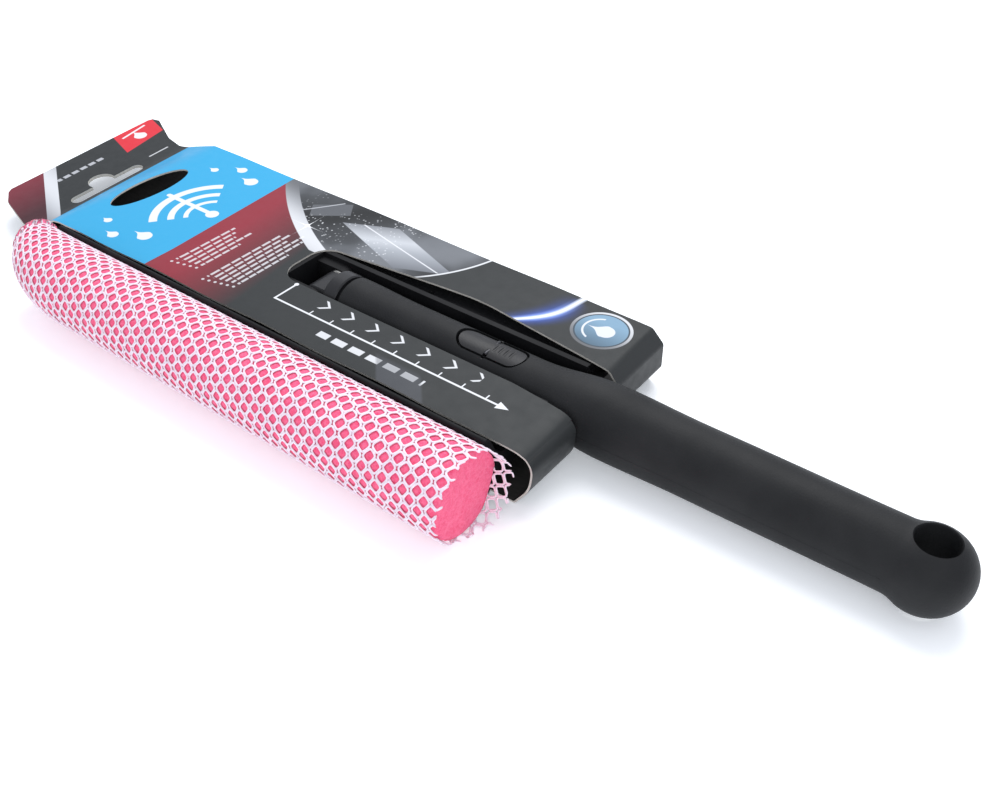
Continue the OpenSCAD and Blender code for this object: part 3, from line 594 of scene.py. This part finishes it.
def slopeHeight(x, foot, head, low, high):
    # height of a sloping stretch between two creases, a little rounded at both
    t = (x - foot) / (head - foot)
    if t <= 0:
        return low
    if t >= 1:
        return high
    return low + (high - low) * blend(t, smooth(t), 0.35)


def sheetPoint(u, y):
    # a point of the flat sheet, in its folded place: u runs along the front, down the end wall and back
    if u <= wallStart:
        x = u
        z = slopeHeight(x, card["slopeEnd"], card["foldX"], card["headerZ"] - halfCard,
                        card["top"] - halfCard)
    elif u < wallEnd:
        share = smooth((y - card["left"]) / (card["rightAtEnd"] - card["left"]))
        i = next(k for k in range(1, len(wallSheet)) if wallSheet[k] >= u - wallStart - 1e-6)
        t = (u - wallStart - wallSheet[i - 1]) / max(wallSheet[i] - wallSheet[i - 1], 1e-6)
        spot = leftWall[i - 1].lerp(leftWall[i], t).lerp(rightWall[i - 1].lerp(rightWall[i], t), share)
        x, z = spot
    else:
        x = wallStart - (u - wallEnd)
        underside = card["headerZ"] - halfCard - card["thick"] - card["headerGap"]
        z = slopeHeight(x, card["slopeEnd"], card["backFoldX"], underside, halfCard)
    lean = smooth((card["foldX"] - x) / 20)              # the header is twisted
    z += card["twist"] * (y - 4) * lean
    if u <= wallStart and x > card["foldX"]:             # both long edges lift in slight waves
        for wave in waves:
            lift = wave["height"] * (1 + math.sin(x * wave["rate"] + wave["phase"]))
            lift *= smooth((wave["last"] - x) / 30) * smooth((x + 112) / 20)
            z += smooth((y - wave["from"]) / wave["width"]) * lift
    return place(x, y, z)


def arcPoints(cx, cy, radius, start, end, steps=10):
    return [(cx + radius * math.cos(math.radians(blend(start, end, i / steps))),
             cy + radius * math.sin(math.radians(blend(start, end, i / steps)))) for i in range(steps + 1)]


def curved(points, steps=5):
    # a smooth line through the points
    ends = [points[0], *points, points[-1]]
    line = []
    for i in range(1, len(ends) - 2):
        a, b, c, d = (Vector(ends[i + k]) for k in (-1, 0, 1, 2))
        for k in range(steps):
            t = k / steps
            line.append(tuple(0.5 * (2 * b + (c - a) * t + (2 * a - 5 * b + 4 * c - d) * t * t
                                     + (3 * b - a - 3 * c + d) * t ** 3)))
    return line


def onBack(x):
    return wallEnd + (wallStart - x)                     # along the sheet, to the back under x


def cardOutline():
    # left edge towards the end wall, round the back, and home along the right edge
    end, left, right = card["headerX"], card["left"], card["rightAtEnd"]
    headerLeft = [(end, -24), (end + 1.5, -26.4), (end + 8.5, -31.4), (-142, left)]
    headerRight = [(card["foldX"], card["rightAtFold"]), (-129, 46.4), (-139, 44.8), (-149, 47), (-159, 52),
                   (end + 5, 56), (end + 1, 55.2), (end, 53)]
    back = [(onBack(x), y) for x, y in reversed(headerLeft)]
    backRight = [(onBack(x), y) for x, y in reversed(headerRight)]
    return (headerLeft + [(wallStart, left), (wallEnd, left)] + back + backRight
            + [(wallEnd, right), (wallStart, right)] + headerRight)


def cardHoles():
    c = card
    slot = arcPoints(c["slotBack"] + c["slotRound"], c["slotLow"] + c["slotRound"], c["slotRound"], 180, 270)
    slot += [(c["flareX"], c["slotLow"]), (c["swellX"] - 8, -c["slotWide"]), (wallEnd - 2, -c["slotWide"]),
             (wallEnd - 2, c["slotWide"])]
    slot += curved([(c["swellX"] - 8, c["slotWide"]), *c["bow"],
                    (c["slotBack"] + c["slotRound"], c["slotHigh"])])
    slot += arcPoints(c["slotBack"] + c["slotRound"], c["slotHigh"] - c["slotRound"], c["slotRound"], 90, 180)
    oval = [(c["ovalX"] + c["ovalW"] / 2 * math.cos(i * math.pi / 24),
             c["holeY"] + c["ovalLen"] / 2 * math.sin(i * math.pi / 24)) for i in range(48)]
    half, end = c["barW"] / 2, c["barLen"] / 2 - c["barW"] / 2
    x, y = c["barX"], c["holeY"]
    hump = math.sqrt(c["humpR"] ** 2 - c["humpMeet"] ** 2)
    bar = arcPoints(x, y + end, half, 0, 180) + [(x - half, y + hump)]
    bar += arcPoints(x - half - c["humpOut"], y, c["humpR"], c["humpAngle"], 360 - c["humpAngle"])
    bar += [(x - half, y - hump)] + arcPoints(x, y - end, half, 180, 360)
    backBar = [(onBack(barX), barY) for barX, barY in bar]
    return [slot, oval, bar, backBar]


def inside(point, polygon):
    x, y = point
    hit = False
    for (ax, ay), (bx, by) in zip(polygon, polygon[1:] + polygon[:1]):
        if (ay > y) != (by > y) and x < (bx - ax) * (y - ay) / (by - ay) + ax:
            hit = not hit
    return hit


def cutSheet():
    # the flat sheet in triangles, cut along its outline, its holes and a grid that follows the creases
    boundary, holes = cardOutline(), cardHoles()
    points, edges = [], []
    for loop in [boundary] + holes:
        first = len(points)
        points.extend(Vector(p) for p in loop)
        edges.extend((first + i, first + (i + 1) % len(loop)) for i in range(len(loop)))
    low, high = card["headerX"] - 1, onBack(card["headerX"]) + 1
    stations = []
    u = card["headerX"] + 3
    while u < wallStart - 1:
        stations.append(u)
        u += card["mesh"]
    stations += [wallStart + s for s in wallSheet]
    u = wallEnd + card["mesh"]
    while u < high - 2:
        stations.append(u)
        u += card["mesh"]
    lines = [((u, -60), (u, 75)) for u in stations]
    y = -36.0
    while y < 56:
        lines.append(((low - 5, y), (high + 5, y)))
        y += card["mesh"]
    for start, end in lines:
        points.extend((Vector(start), Vector(end)))
        edges.append((len(points) - 2, len(points) - 1))
    spots, _, triangles, *_ = delaunay_2d_cdt(points, edges, [], 0, 1e-4, False)
    kept = []
    for triangle in triangles:
        middle = sum((spots[i] for i in triangle), Vector((0, 0))) / 3
        if inside(middle, boundary) and not any(inside(middle, hole) for hole in holes):
            kept.append(triangle)
    return spots, kept


def makeCard(materials):
    spots, triangles = cutSheet()
    mesh = bmesh.new()
    made, uv = {}, mesh.loops.layers.uv.new("print")
    for triangle in triangles:
        for i in triangle:
            if i not in made:
                made[i] = mesh.verts.new(sheetPoint(*spots[i]))
        face = mesh.faces.new([made[i] for i in triangle])
        for loop, i in zip(face.loops, triangle):
            loop[uv].uv = (spots[i].x / 1000, spots[i].y / 1000)
    bmesh.ops.remove_doubles(mesh, verts=mesh.verts, dist=0.05 * mm)
    bmesh.ops.dissolve_degenerate(mesh, edges=mesh.edges, dist=0.02 * mm)
    bmesh.ops.join_triangles(mesh, faces=mesh.faces, cmp_seam=False, cmp_sharp=False, cmp_uvs=False,
                             cmp_vcols=False, cmp_materials=False,
                             angle_face_threshold=0.05, angle_shape_threshold=0.6)
    mesh.normal_update()
    if sum(f.normal.z for f in mesh.faces if f.calc_center_median().z > 0.018) < 0:
        bmesh.ops.reverse_faces(mesh, faces=mesh.faces)
    data = bpy.data.meshes.new("printedCard")
    mesh.to_mesh(data)
    mesh.free()
    sheet = bpy.data.objects.new("printedCard", data)
    bpy.context.scene.collection.objects.link(sheet)
    for material in materials:
        data.materials.append(material)
    data.polygons.foreach_set("use_smooth", [True] * len(data.polygons))
    thick = sheet.modifiers.new("board", "SOLIDIFY")
    thick.thickness = card["thick"] * mm
    thick.offset = 0
    thick.material_offset = 1
    thick.material_offset_rim = 2
    sharp = sheet.modifiers.new("creases", "EDGE_SPLIT")
    sharp.split_angle = math.radians(32)
    even = sheet.modifiers.new("evenShading", "WEIGHTED_NORMAL")
    even.keep_sharp = True
    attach(sheet, "head")
    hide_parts("card_front", "card_end", "card_back")
    print("card:", len(data.polygons), "faces")


# the artwork is painted on the flat sheet: x runs along it and y across it, in millimetres
ink = {
    "charcoal": (0.028, 0.0305, 0.031), "charcoalLight": (0.036, 0.039, 0.04),
    "wallGrey": (0.03, 0.032, 0.033),
    "blue": (0.035, 0.34, 0.6), "deepBlue": (0.03, 0.2, 0.45), "red": (0.25, 0.028, 0.042),
    "patchRed": (0.62, 0.03, 0.045), "cornerRed": (0.2, 0.03, 0.045), "cornerDark": (0.06, 0.02, 0.025),
    "silver": (0.5, 0.51, 0.54), "white": (0.72, 0.73, 0.75), "sparkle": (0.95, 0.96, 0.98),
    "shade": (0.1, 0.105, 0.115), "glow": (0.06, 0.14, 0.62), "glowLight": (0.3, 0.42, 0.85),
    "glowCore": (0.85, 0.9, 1.0), "ghost": (0.09, 0.095, 0.11), "badgeDark": (0.05, 0.07, 0.09),
    "badgeDeep": (0.05, 0.09, 0.13), "badge": (0.2, 0.33, 0.45),
}
tones = {
    "silver": [(0.0, (0.13, 0.135, 0.145)), (0.5, (0.36, 0.37, 0.39)), (1.0, (0.62, 0.63, 0.65))],
    "haze": [(0.0, (0.018, 0.019, 0.02)), (0.35, (0.06, 0.064, 0.07)), (0.6, (0.16, 0.17, 0.185))],
    "pane": [(0.0, (0.22, 0.23, 0.25)), (0.35, (0.5, 0.52, 0.55)), (0.6, (0.33, 0.35, 0.38)),
             (1.0, (0.16, 0.17, 0.19))],
}
design = {
    "frontPast": 6.0, "lean": 0.058, "blueFrom": -133.0, "blueTo": -60.7,
    "band": dict(centre=(51.7, 153.9), middle=158, inner=155.2, outer=161, left=-68, right=-9, low=8),
    "picture": dict(centre=(-14, 62), rim=62, arc=(61.4, 62.3), left=-62, low=9),
    "pane": dict(half=(14, 8.2), shadow=(-31, 36, 35, 17, 9), streak=(-38, 33, 52, 26, 0.7)),
    "sparkle": (-30, 21),
    "glow": dict(foot=(70, 14), slope=0.69, wave=0.1208, sway=4.4, heart=(83, 26)),
    "sweep": dict(centre=(-68, 4), arcs=[(22, 25.4), (15.2, 18), (9.6, 11.6)], left=-101, right=-62),
    "drops": [(-76, 33, 3.0), (-87, 38, 2.2), (-97, 31, 1.7),
              (-76, -24, 3.0), (-87, -31, 2.2), (-98, -25, 1.7)],
    # each block of notes: where it starts, its line spacing, and the length of each line
    "notes": [(-52.6, -31, 2.75, (30, 27, 24, 29, 20)), (-33.6, -32, 2.6, (38, 40, 35, 41, 37, 26))],
    "reach": dict(left=-2.4, right=101, y=-23.6, up=-12.5, chevronsY=-16.2, dashes=(26, 74, -31.4, -28.4)),
    "badge": dict(centre=(104.3, 31.5), rim=11.2, ring=10.1, face=9.5, drop=(106, 31.5, 3.4)),
    "header": dict(stripe=(-173, -3), slope=0.65, stripeHalf=3.4, patchRight=-149, patchAcross=(-21, 0.9)),
}


class Artwork:
    # lays shapes over the sheet's charcoal; a mask is 1 inside its shape
    def __init__(self, tree):
        self.tree = tree
        uv = wire(tree, "UVMap", uv_map="print").outputs[0]
        split = wire(tree, "SeparateXYZ", {0: uv})
        self.x, self.y = (Field(tree, split.outputs[i]) * 1000.0 for i in (0, 1))
        self.flatSheet = wire(tree, "VectorMath", {0: uv, "Scale": 1000.0}, operation="SCALE").outputs[0]
        self.soft = Field(tree, grain(tree, 0.035, 2, vector=self.flatSheet))
        self.front = self.x.under(card["bendX"] + design["frontPast"])
        self.leaning = self.x + self.y * design["lean"]
        self.shine = self.tone((self.y * 0.13 + self.x * 0.02).do("SINE") * 0.5 + 0.5, "silver")
        speck = Field(tree, grain(tree, 3.0, 3, vector=self.flatSheet))
        self.colour = mixed(tree, (speck * 0.12).clamped().source, ink["charcoal"], ink["charcoalLight"])

    def tone(self, value, name):
        return stepped(self.tree, value.source, tones[name])

    def cover(self, mask, over, strength=1.0):
        self.colour = mixed(self.tree, (mask * strength).clamped().source, self.colour, over)

    def paint(self, mask, over, strength=1.0):
        self.cover(mask * self.front, over, strength)    # on the front panel only

    def distance(self, cx, cy):
        return ((self.x - cx).do("POWER", 2.0) + (self.y - cy).do("POWER", 2.0)).do("SQRT")

    def patch(self, x0, x1, y0, y1, rounding=0.0):
        dx = (self.x - (x0 + x1) / 2).size() - (x1 - x0) / 2 + rounding
        dy = (self.y - (y0 + y1) / 2).size() - (y1 - y0) / 2 + rounding
        far = (dx.most(0.0).do("POWER", 2.0) + dy.most(0.0).do("POWER", 2.0)).do("SQRT")
        return (far + dx.most(dy).least(0.0)).under(rounding)

    def drop(self, cx, cy, radius):
        # a round drop drawn out to a point towards the far end
        pull = ((self.x - cx) * -1.0 / radius).most(0.0)
        return (self.distance(cx, cy) + pull * pull * ((self.y - cy).size() * 1.1)
                - pull * radius * 0.55).under(radius, 0.25)

    def plate(self, cx, cy, degrees, length, width):
        # a turned rectangle
        cos, sin = math.cos(math.radians(degrees)), math.sin(math.radians(degrees))
        along = (self.x - cx) * cos + (self.y - cy) * sin
        across = (self.y - cy) * cos - (self.x - cx) * sin
        return along.size().under(length / 2) * across.size().under(width / 2)


def drawPicture(art):
    # the blade's side: a slanting pane and beads of water, between the silver band and a thin bright arc
    x, y, spec, pane = art.x, art.y, design["picture"], design["pane"]
    side = art.distance(*design["band"]["centre"]).under(design["band"]["middle"]) * x.over(spec["left"])
    arc = art.distance(*spec["centre"])
    inFrame = side * arc.under(spec["rim"]) * y.over(spec["low"])
    haze = ((x * 0.07 - y * 0.05 + art.soft * 4.0).do("SINE") * 0.5 + 0.5) * 0.6
    art.paint(inFrame, art.tone(haze, "haze"))
    along, across = x * 0.403 - y * 0.915 + 23.1, x * 0.327 + y * 0.945 - 31.3
    glass = along.size().under(pane["half"][0], 0.3) * across.size().under(pane["half"][1], 0.3)
    art.paint(glass * inFrame, art.tone((along + pane["half"][0]) * 0.036, "pane"))
    art.paint((across - along * 0.2 - 1).size().under(0.35, 0.2) * glass * inFrame, ink["white"], 0.8)
    art.paint(art.plate(*pane["shadow"]) * inFrame, ink["shade"])
    art.paint(art.plate(*pane["streak"]) * inFrame, ink["silver"], 0.7)
    cells = wire(art.tree, "TexVoronoi", {"Vector": art.flatSheet, "Scale": 0.55, "Randomness": 1.0})
    beads = Field(art.tree, cells.outputs["Distance"]).under(0.2, 0.1) * art.soft.over(0.47, 0.1)
    art.paint(beads * x.between(-44, 12, 5) * inFrame, ink["white"], 0.55)
    art.paint(arc.between(*spec["arc"], 0.3) * y.over(18, 6) * side, ink["white"], 0.9)


def drawBand(art):
    # the silver band, and a sparkle of four thin rays on it
    x, y, spec = art.x, art.y, design["band"]
    ring = art.distance(*spec["centre"]).between(spec["inner"], spec["outer"], 0.25)
    art.paint(ring * x.between(spec["left"], spec["right"]) * art.leaning.over(design["blueTo"])
              * y.over(spec["low"]), art.shine)
    rayX, rayY = (x - design["sparkle"][0]).size(), (y - design["sparkle"][1]).size()
    art.paint((rayX * rayY * 2.4 + (rayX + rayY) * 0.1).under(1.0, 0.9), ink["sparkle"])


def drawGlow(art):
    # a glowing streak across the blade's side
    spec = design["glow"]
    up = art.y - spec["foot"][1]
    sway = (up * spec["wave"]).do("SINE") * spec["sway"]
    curve = (art.x - spec["foot"][0] - up * spec["slope"] - sway).size()
    near = ((art.distance(*spec["heart"]) * -0.07) + 1.25).clamped()
    wide = (curve * -0.1 + 1.0).clamped().do("POWER", 2.2)
    art.paint(wide * art.y.over(15, 7) * near, ink["glow"])
    art.paint((curve * -0.3 + 1.0).clamped() * near * art.y.over(15, 6), ink["glowLight"])
    art.paint(curve.under(0.9, 1.6) * art.y.over(15, 4), ink["glowCore"])


def drawBluePanel(art):
    # the blue panel: swept arcs with their arm, and drops on both sides
    x, y, spec = art.x, art.y, design["sweep"]
    blue = x.over(design["blueFrom"]) * art.leaning.under(design["blueTo"])
    art.paint(blue, ink["blue"])
    art.paint(blue * x.under(-119, 14), ink["deepBlue"], 0.2)
    centreX, centreY = spec["centre"]
    sweep = art.distance(centreX, centreY)
    wedge = ((y - centreY).size() - (x * -1.0 + centreX) * 1.3).under(0, 0.3) * x.under(centreX - 1)
    arcs = [sweep.between(*arc) for arc in spec["arcs"]]
    arm = art.patch(-96, centreX, centreY - 1.1, centreY + 1.1, 1.0)
    shapes = (arcs[0] + arcs[1] + arcs[2]).clamped() * wedge + arm + sweep.under(2.8)
    for drop in design["drops"]:
        shapes = shapes + art.drop(*drop)
    art.paint(shapes * x.between(spec["left"], spec["right"]), ink["white"], 0.96)


def drawNotes(art):
    # two blocks of fine dashes with bullets
    for block, (x0, y0, gap, lengths) in enumerate(design["notes"]):
        for i, length in enumerate(lengths):
            left, start = x0 + i * gap, y0 + 0.7 * i
            dashes = ((art.y * (0.19 + 0.013 * i) + 0.37 * i + block * 0.2).do("FRACT")).under(0.84, 0.05)
            row = art.patch(left, left + 1.15, start + 3, start + 3 + length, 0.2) * dashes
            art.paint(row + art.distance(left + 0.55, start + 0.8).under(0.62), ink["white"], 0.66)


def drawReach(art):
    # how far the handle reaches: arrow with ticks, chevrons and a row of bold dashes
    x, y, spec = art.x, art.y, design["reach"]
    left, right, line = spec["left"], spec["right"], spec["y"]
    arrow = art.patch(left - 0.2, right, line - 0.4, line + 0.4)
    arrow = arrow + art.patch(left - 0.4, left + 0.4, line - 0.4, spec["up"] - 0.1)
    arrow = arrow + art.distance(left, spec["up"] + 0.1).under(0.9)
    ticks = ((x * 0.1).do("FRACT") - 0.5).size().under(0.025, 0.01) * art.patch(6, 96, line + 0.4, line + 2.4)
    head = ((y - line).size() * 2.4 + x).under(right + 3.5) * x.over(right - 1)
    art.paint(arrow + ticks + head, ink["white"])
    step = (x * 0.085).do("FRACT")
    chevrons = (step + (y - spec["chevronsY"]).size() * 0.1 - 0.55).size().under(0.055, 0.03)
    row = art.patch(10, 88, spec["chevronsY"] - 2.7, spec["chevronsY"] + 2.7)
    art.paint(chevrons * row, ink["white"], 0.9)
    bold = ((x * 0.125).do("FRACT") - 0.5).size().under(0.36, 0.03)
    art.paint(bold * art.patch(*spec["dashes"]), ink["white"], 0.85)
    ghost = ((x - 74 + (y + 42) * 0.9).size() * 0.1 - 1.0).under(0) * y.under(-27.5, 3)
    art.paint(ghost, ink["ghost"], 0.5)


def drawBadge(art):
    # a round badge: silver rim, pale sky and one drop
    spec = design["badge"]
    badge = art.distance(*spec["centre"])
    art.paint(badge.under(spec["rim"]), art.shine)
    art.paint(badge.under(spec["ring"]), ink["badgeDark"])
    sky = ((art.y - 22) * 0.06 + art.soft * 0.3).clamped()
    art.paint(badge.under(spec["face"]), mixed(art.tree, sky.source, ink["badgeDeep"], ink["badge"]))
    art.paint(art.drop(*spec["drop"]) + badge.between(6.4, 7.2) * art.x.under(102), ink["white"], 0.85)


def drawHeader(art):
    # the header: dark red corner, slanting silver stripe, red patch with one drop, a row of dashes
    x, y, spec = art.x, art.y, design["header"]
    header = x.under(design["blueFrom"])
    slant = y - spec["stripe"][1] + (x - spec["stripe"][0]) * spec["slope"]
    corner = mixed(art.tree, ((x + 174) * 0.035).clamped().source, ink["cornerRed"], ink["cornerDark"])
    art.paint(header * slant.under(0), corner)
    art.paint(header * slant.size().under(spec["stripeHalf"]), art.shine)
    patch = (x * 0.99 + y * 0.143).under(spec["patchRight"])
    art.paint(patch * (x * 0.301 + y * 0.954).between(*spec["patchAcross"]) * header, ink["patchRed"])
    art.paint(art.drop(-162.5, 41, 3.0) + art.plate(-168.3, 41.5, 8, 1.2, 15), ink["white"], 0.92)
    art.paint(art.patch(-143, -142.2, 30, 41), ink["white"], 0.7)
    dashes = (y * 0.22).do("FRACT").under(0.72, 0.05)
    art.paint(art.patch(-161, -158.8, -8, 17, 0.6) * dashes, ink["silver"], 0.8)


def printMaterial():
    material, tree, shader = newMaterial("cardPrint", specularIorLevel=0.16,
                                         coatWeight=0.03, coatRoughness=0.25)
    art = Artwork(tree)
    # dark red fading into charcoal along the sheet
    redFade = (art.x * -0.03 - 0.5 + art.y * -0.004).clamped()
    art.paint(redFade * art.leaning.over(design["blueTo"]), ink["red"])
    for draw in (drawPicture, drawBand, drawGlow, drawBluePanel, drawNotes, drawReach, drawBadge, drawHeader):
        draw(art)
    art.cover(art.x.between(card["bendX"] + design["frontPast"], wallEnd - 2, 2.0), ink["wallGrey"], 0.8)
    tree.links.new(art.colour, shader.inputs["Base Color"])
    tree.links.new(stepped(tree, grain(tree, 0.2, 4, vector=art.flatSheet), [(0.3, 0.4), (0.7, 0.52)]),
                   shader.inputs["Roughness"])
    bumped(tree, shader, (grain(tree, 0.05, 3, vector=art.flatSheet), 0.3, 0.0006))
    return material


def boardMaterial(name, dark, light, rough):
    material, tree, shader = newMaterial(name, roughness=rough, specularIorLevel=0.25)
    fibre = grain(tree, 900, 5, 0.7, stretch=(0.25, 1, 1))
    tree.links.new(stepped(tree, fibre, [(0.3, dark), (0.7, light)]), shader.inputs["Base Color"])
    bumped(tree, shader, (fibre, 0.4, 0.00008))
    return material


makeCard([printMaterial(),
          boardMaterial("cardInside", (0.03, 0.029, 0.027), (0.05, 0.048, 0.045), 0.7),
          boardMaterial("cardEdge", (0.42, 0.4, 0.36), (0.62, 0.6, 0.55), 0.8)])

# parting line of the grip: a fine ridge along both sides of the moulding
seam = {"proud": 0.07, "width": 0.5, "root": 0.12, "from": 24.0, "to": 226.0, "step": 1.5}


def makeSeam():
    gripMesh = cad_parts["grip"].data
    reach = {}
    for vertex in gripMesh.vertices:                      # the grip's own outline, read at its widest
        x = round((vertex.co.x - hinge.x) / mm, 1)
        radius = math.hypot(vertex.co.y - hinge.y, vertex.co.z - hinge.z) / mm
        reach[x] = max(reach.get(x, 0), radius)
    stations = sorted((x, r) for x, r in reach.items() if r > 9.5)

    def gripRadius(x):
        left = max((s for s in stations if s[0] <= x), default=stations[0])
        right = min((s for s in stations if s[0] > x), default=stations[-1])
        t = (x - left[0]) / max(right[0] - left[0], 1e-6)
        return blend(left[1], right[1], min(max(t, 0), 1))

    vertices, faces = [], []
    for side in (-1, 1):
        x, base = seam["from"], len(vertices)
        while x < seam["to"]:
            radius = gripRadius(x)
            half = seam["width"] / 2
            for dz, out in ((-half, -seam["root"]), (0.0, seam["proud"]), (half, -seam["root"])):
                vertices.append(place(x, side * (radius + out), hinge.z / mm + dz))
            x += seam["step"]
        count = (len(vertices) - base) // 3
        for i in range(count - 1):
            a, b = base + i * 3, base + (i + 1) * 3
            for k in range(2):
                quad = (a + k, b + k, b + k + 1, a + k + 1)
                faces.append(quad if side < 0 else tuple(reversed(quad)))
            back = (a, a + 2, b + 2, b)
            faces.append(back if side < 0 else tuple(reversed(back)))
        faces.append((base, base + 1, base + 2))
        faces.append((base + count * 3 - 1, base + count * 3 - 2, base + count * 3 - 3))
    ridge = newPiece("gripSeam", vertices, faces, finishes["gripPlastic"], "grip")


# the latch's axle, level with the grip: each step of its domed end is (in from the end, share of the radius)
axle = {"within": 9.9, "dome": [(0.0, 0.0), (0.0, 0.55), (0.15, 0.85), (0.45, 1.0)], "sides": 20}


def makeAxle():
    low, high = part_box("latch_axle")
    middle, radius, sides = (low + high) / 2, (high.z - low.z) / 2, axle["sides"]
    half = math.sqrt((axle["within"] * mm) ** 2 - (middle.z + radius * 0.4 - hinge.z) ** 2)
    profile = [(inward * mm - half, share) for inward, share in axle["dome"]]
    profile += [(-y, share) for y, share in reversed(profile)]
    vertices = []
    for y, share in profile:
        for k in range(sides):
            turn, reach = math.tau * k / sides, radius * share
            vertices.append(middle + Vector((reach * math.cos(turn), y, reach * math.sin(turn))))
    faces = []
    for i in range(len(profile) - 1):
        for k in range(sides):
            m = (k + 1) % sides
            faces.append((i * sides + k, i * sides + m, (i + 1) * sides + m, (i + 1) * sides + k))
    pin = newPiece("latchAxle", vertices, faces, finishes["blackTube"], "grip")
    faceOutward(pin, 0.001 * mm)
    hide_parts("latch_axle")


makeAxle()
makeSeam()
print("grip: seam and latch axle")
(outlineLength - 6) * mm
0.75 * netRound * (outlineLength - 6) * mm * mm

# floor, light and camera
studio = {
    "floor": (0.93, 0.935, 0.94), "glow": 0.28, "world": 0.8, "sky": (0.93, 0.97, 1.06),
    "key": dict(spot=(-60, 330, 620), aim=(40, -20, 0), size=620, power=4.0),
    "fill": dict(spot=(420, -520, 380), aim=(40, -20, 10), size=520, power=1.0),
}


def makeFloor():
    size, count = 4.0, 24
    vertices = [(size * (i / count - 0.5), size * (j / count - 0.5), 0) for j in range(count + 1)
                for i in range(count + 1)]
    row = count + 1
    faces = [(j * row + i, j * row + i + 1, (j + 1) * row + i + 1, (j + 1) * row + i)
             for j in range(count) for i in range(count)]
    material, tree, shader = newMaterial("paleFloor", roughness=0.55, specularIorLevel=0.2,
                                         emissionColor=(0.9, 0.95, 1.0, 1), emissionStrength=studio["glow"])
    tint = tuple(c * 0.985 for c in studio["floor"])
    tree.links.new(stepped(tree, grain(tree, 3, 2), [(0.3, tint), (0.7, studio["floor"])]),
                   shader.inputs["Base Color"])
    floor = newPiece("floor", vertices, faces, material, None, False)


def makeWorld():
    world = bpy.data.worlds.new("studio")
    bpy.context.scene.world = world
    world.use_nodes = True
    tree = world.node_tree
    background = tree.nodes["Background"]
    path = wire(tree, "LightPath")
    seen = Field(tree, path.outputs["Is Camera Ray"]).most(path.outputs["Is Transmission Ray"])
    strength = seen * (1.0 - studio["world"]) + studio["world"]
    background.inputs["Color"].default_value = (*studio["sky"], 1)
    tree.links.new(strength.source, background.inputs["Strength"])


def makeLamp(name, spot, aim, size, power):
    lamp = bpy.data.lights.new(name, "AREA")
    lamp.shape, lamp.size, lamp.energy = "DISK", size * mm, power
    obj = bpy.data.objects.new(name, lamp)
    bpy.context.scene.collection.objects.link(obj)
    obj.location = place(*spot)
    obj.rotation_euler = (place(*aim) - place(*spot)).to_track_quat("-Z", "Y").to_euler()


def makeCamera():
    view = {"spot": (260.3, -236.5, 241.54), "forward": (-0.4689, 0.6174, -0.6316), "lens": 39.03}
    camera = bpy.data.objects.new("camera", bpy.data.cameras.new("camera"))
    bpy.context.scene.collection.objects.link(camera)
    camera.data.lens = view["lens"]
    camera.data.sensor_width = 36
    camera.data.clip_start, camera.data.clip_end = 0.01, 20
    camera.location = place(*view["spot"])
    camera.rotation_euler = Vector(view["forward"]).to_track_quat("-Z", "Y").to_euler()
    bpy.context.scene.camera = camera


makeFloor()
makeWorld()
makeLamp("keyLight", **studio["key"])
makeLamp("fillLight", **studio["fill"])
makeCamera()
bpy.context.scene.view_settings.view_transform = "Standard"
print("studio ready")
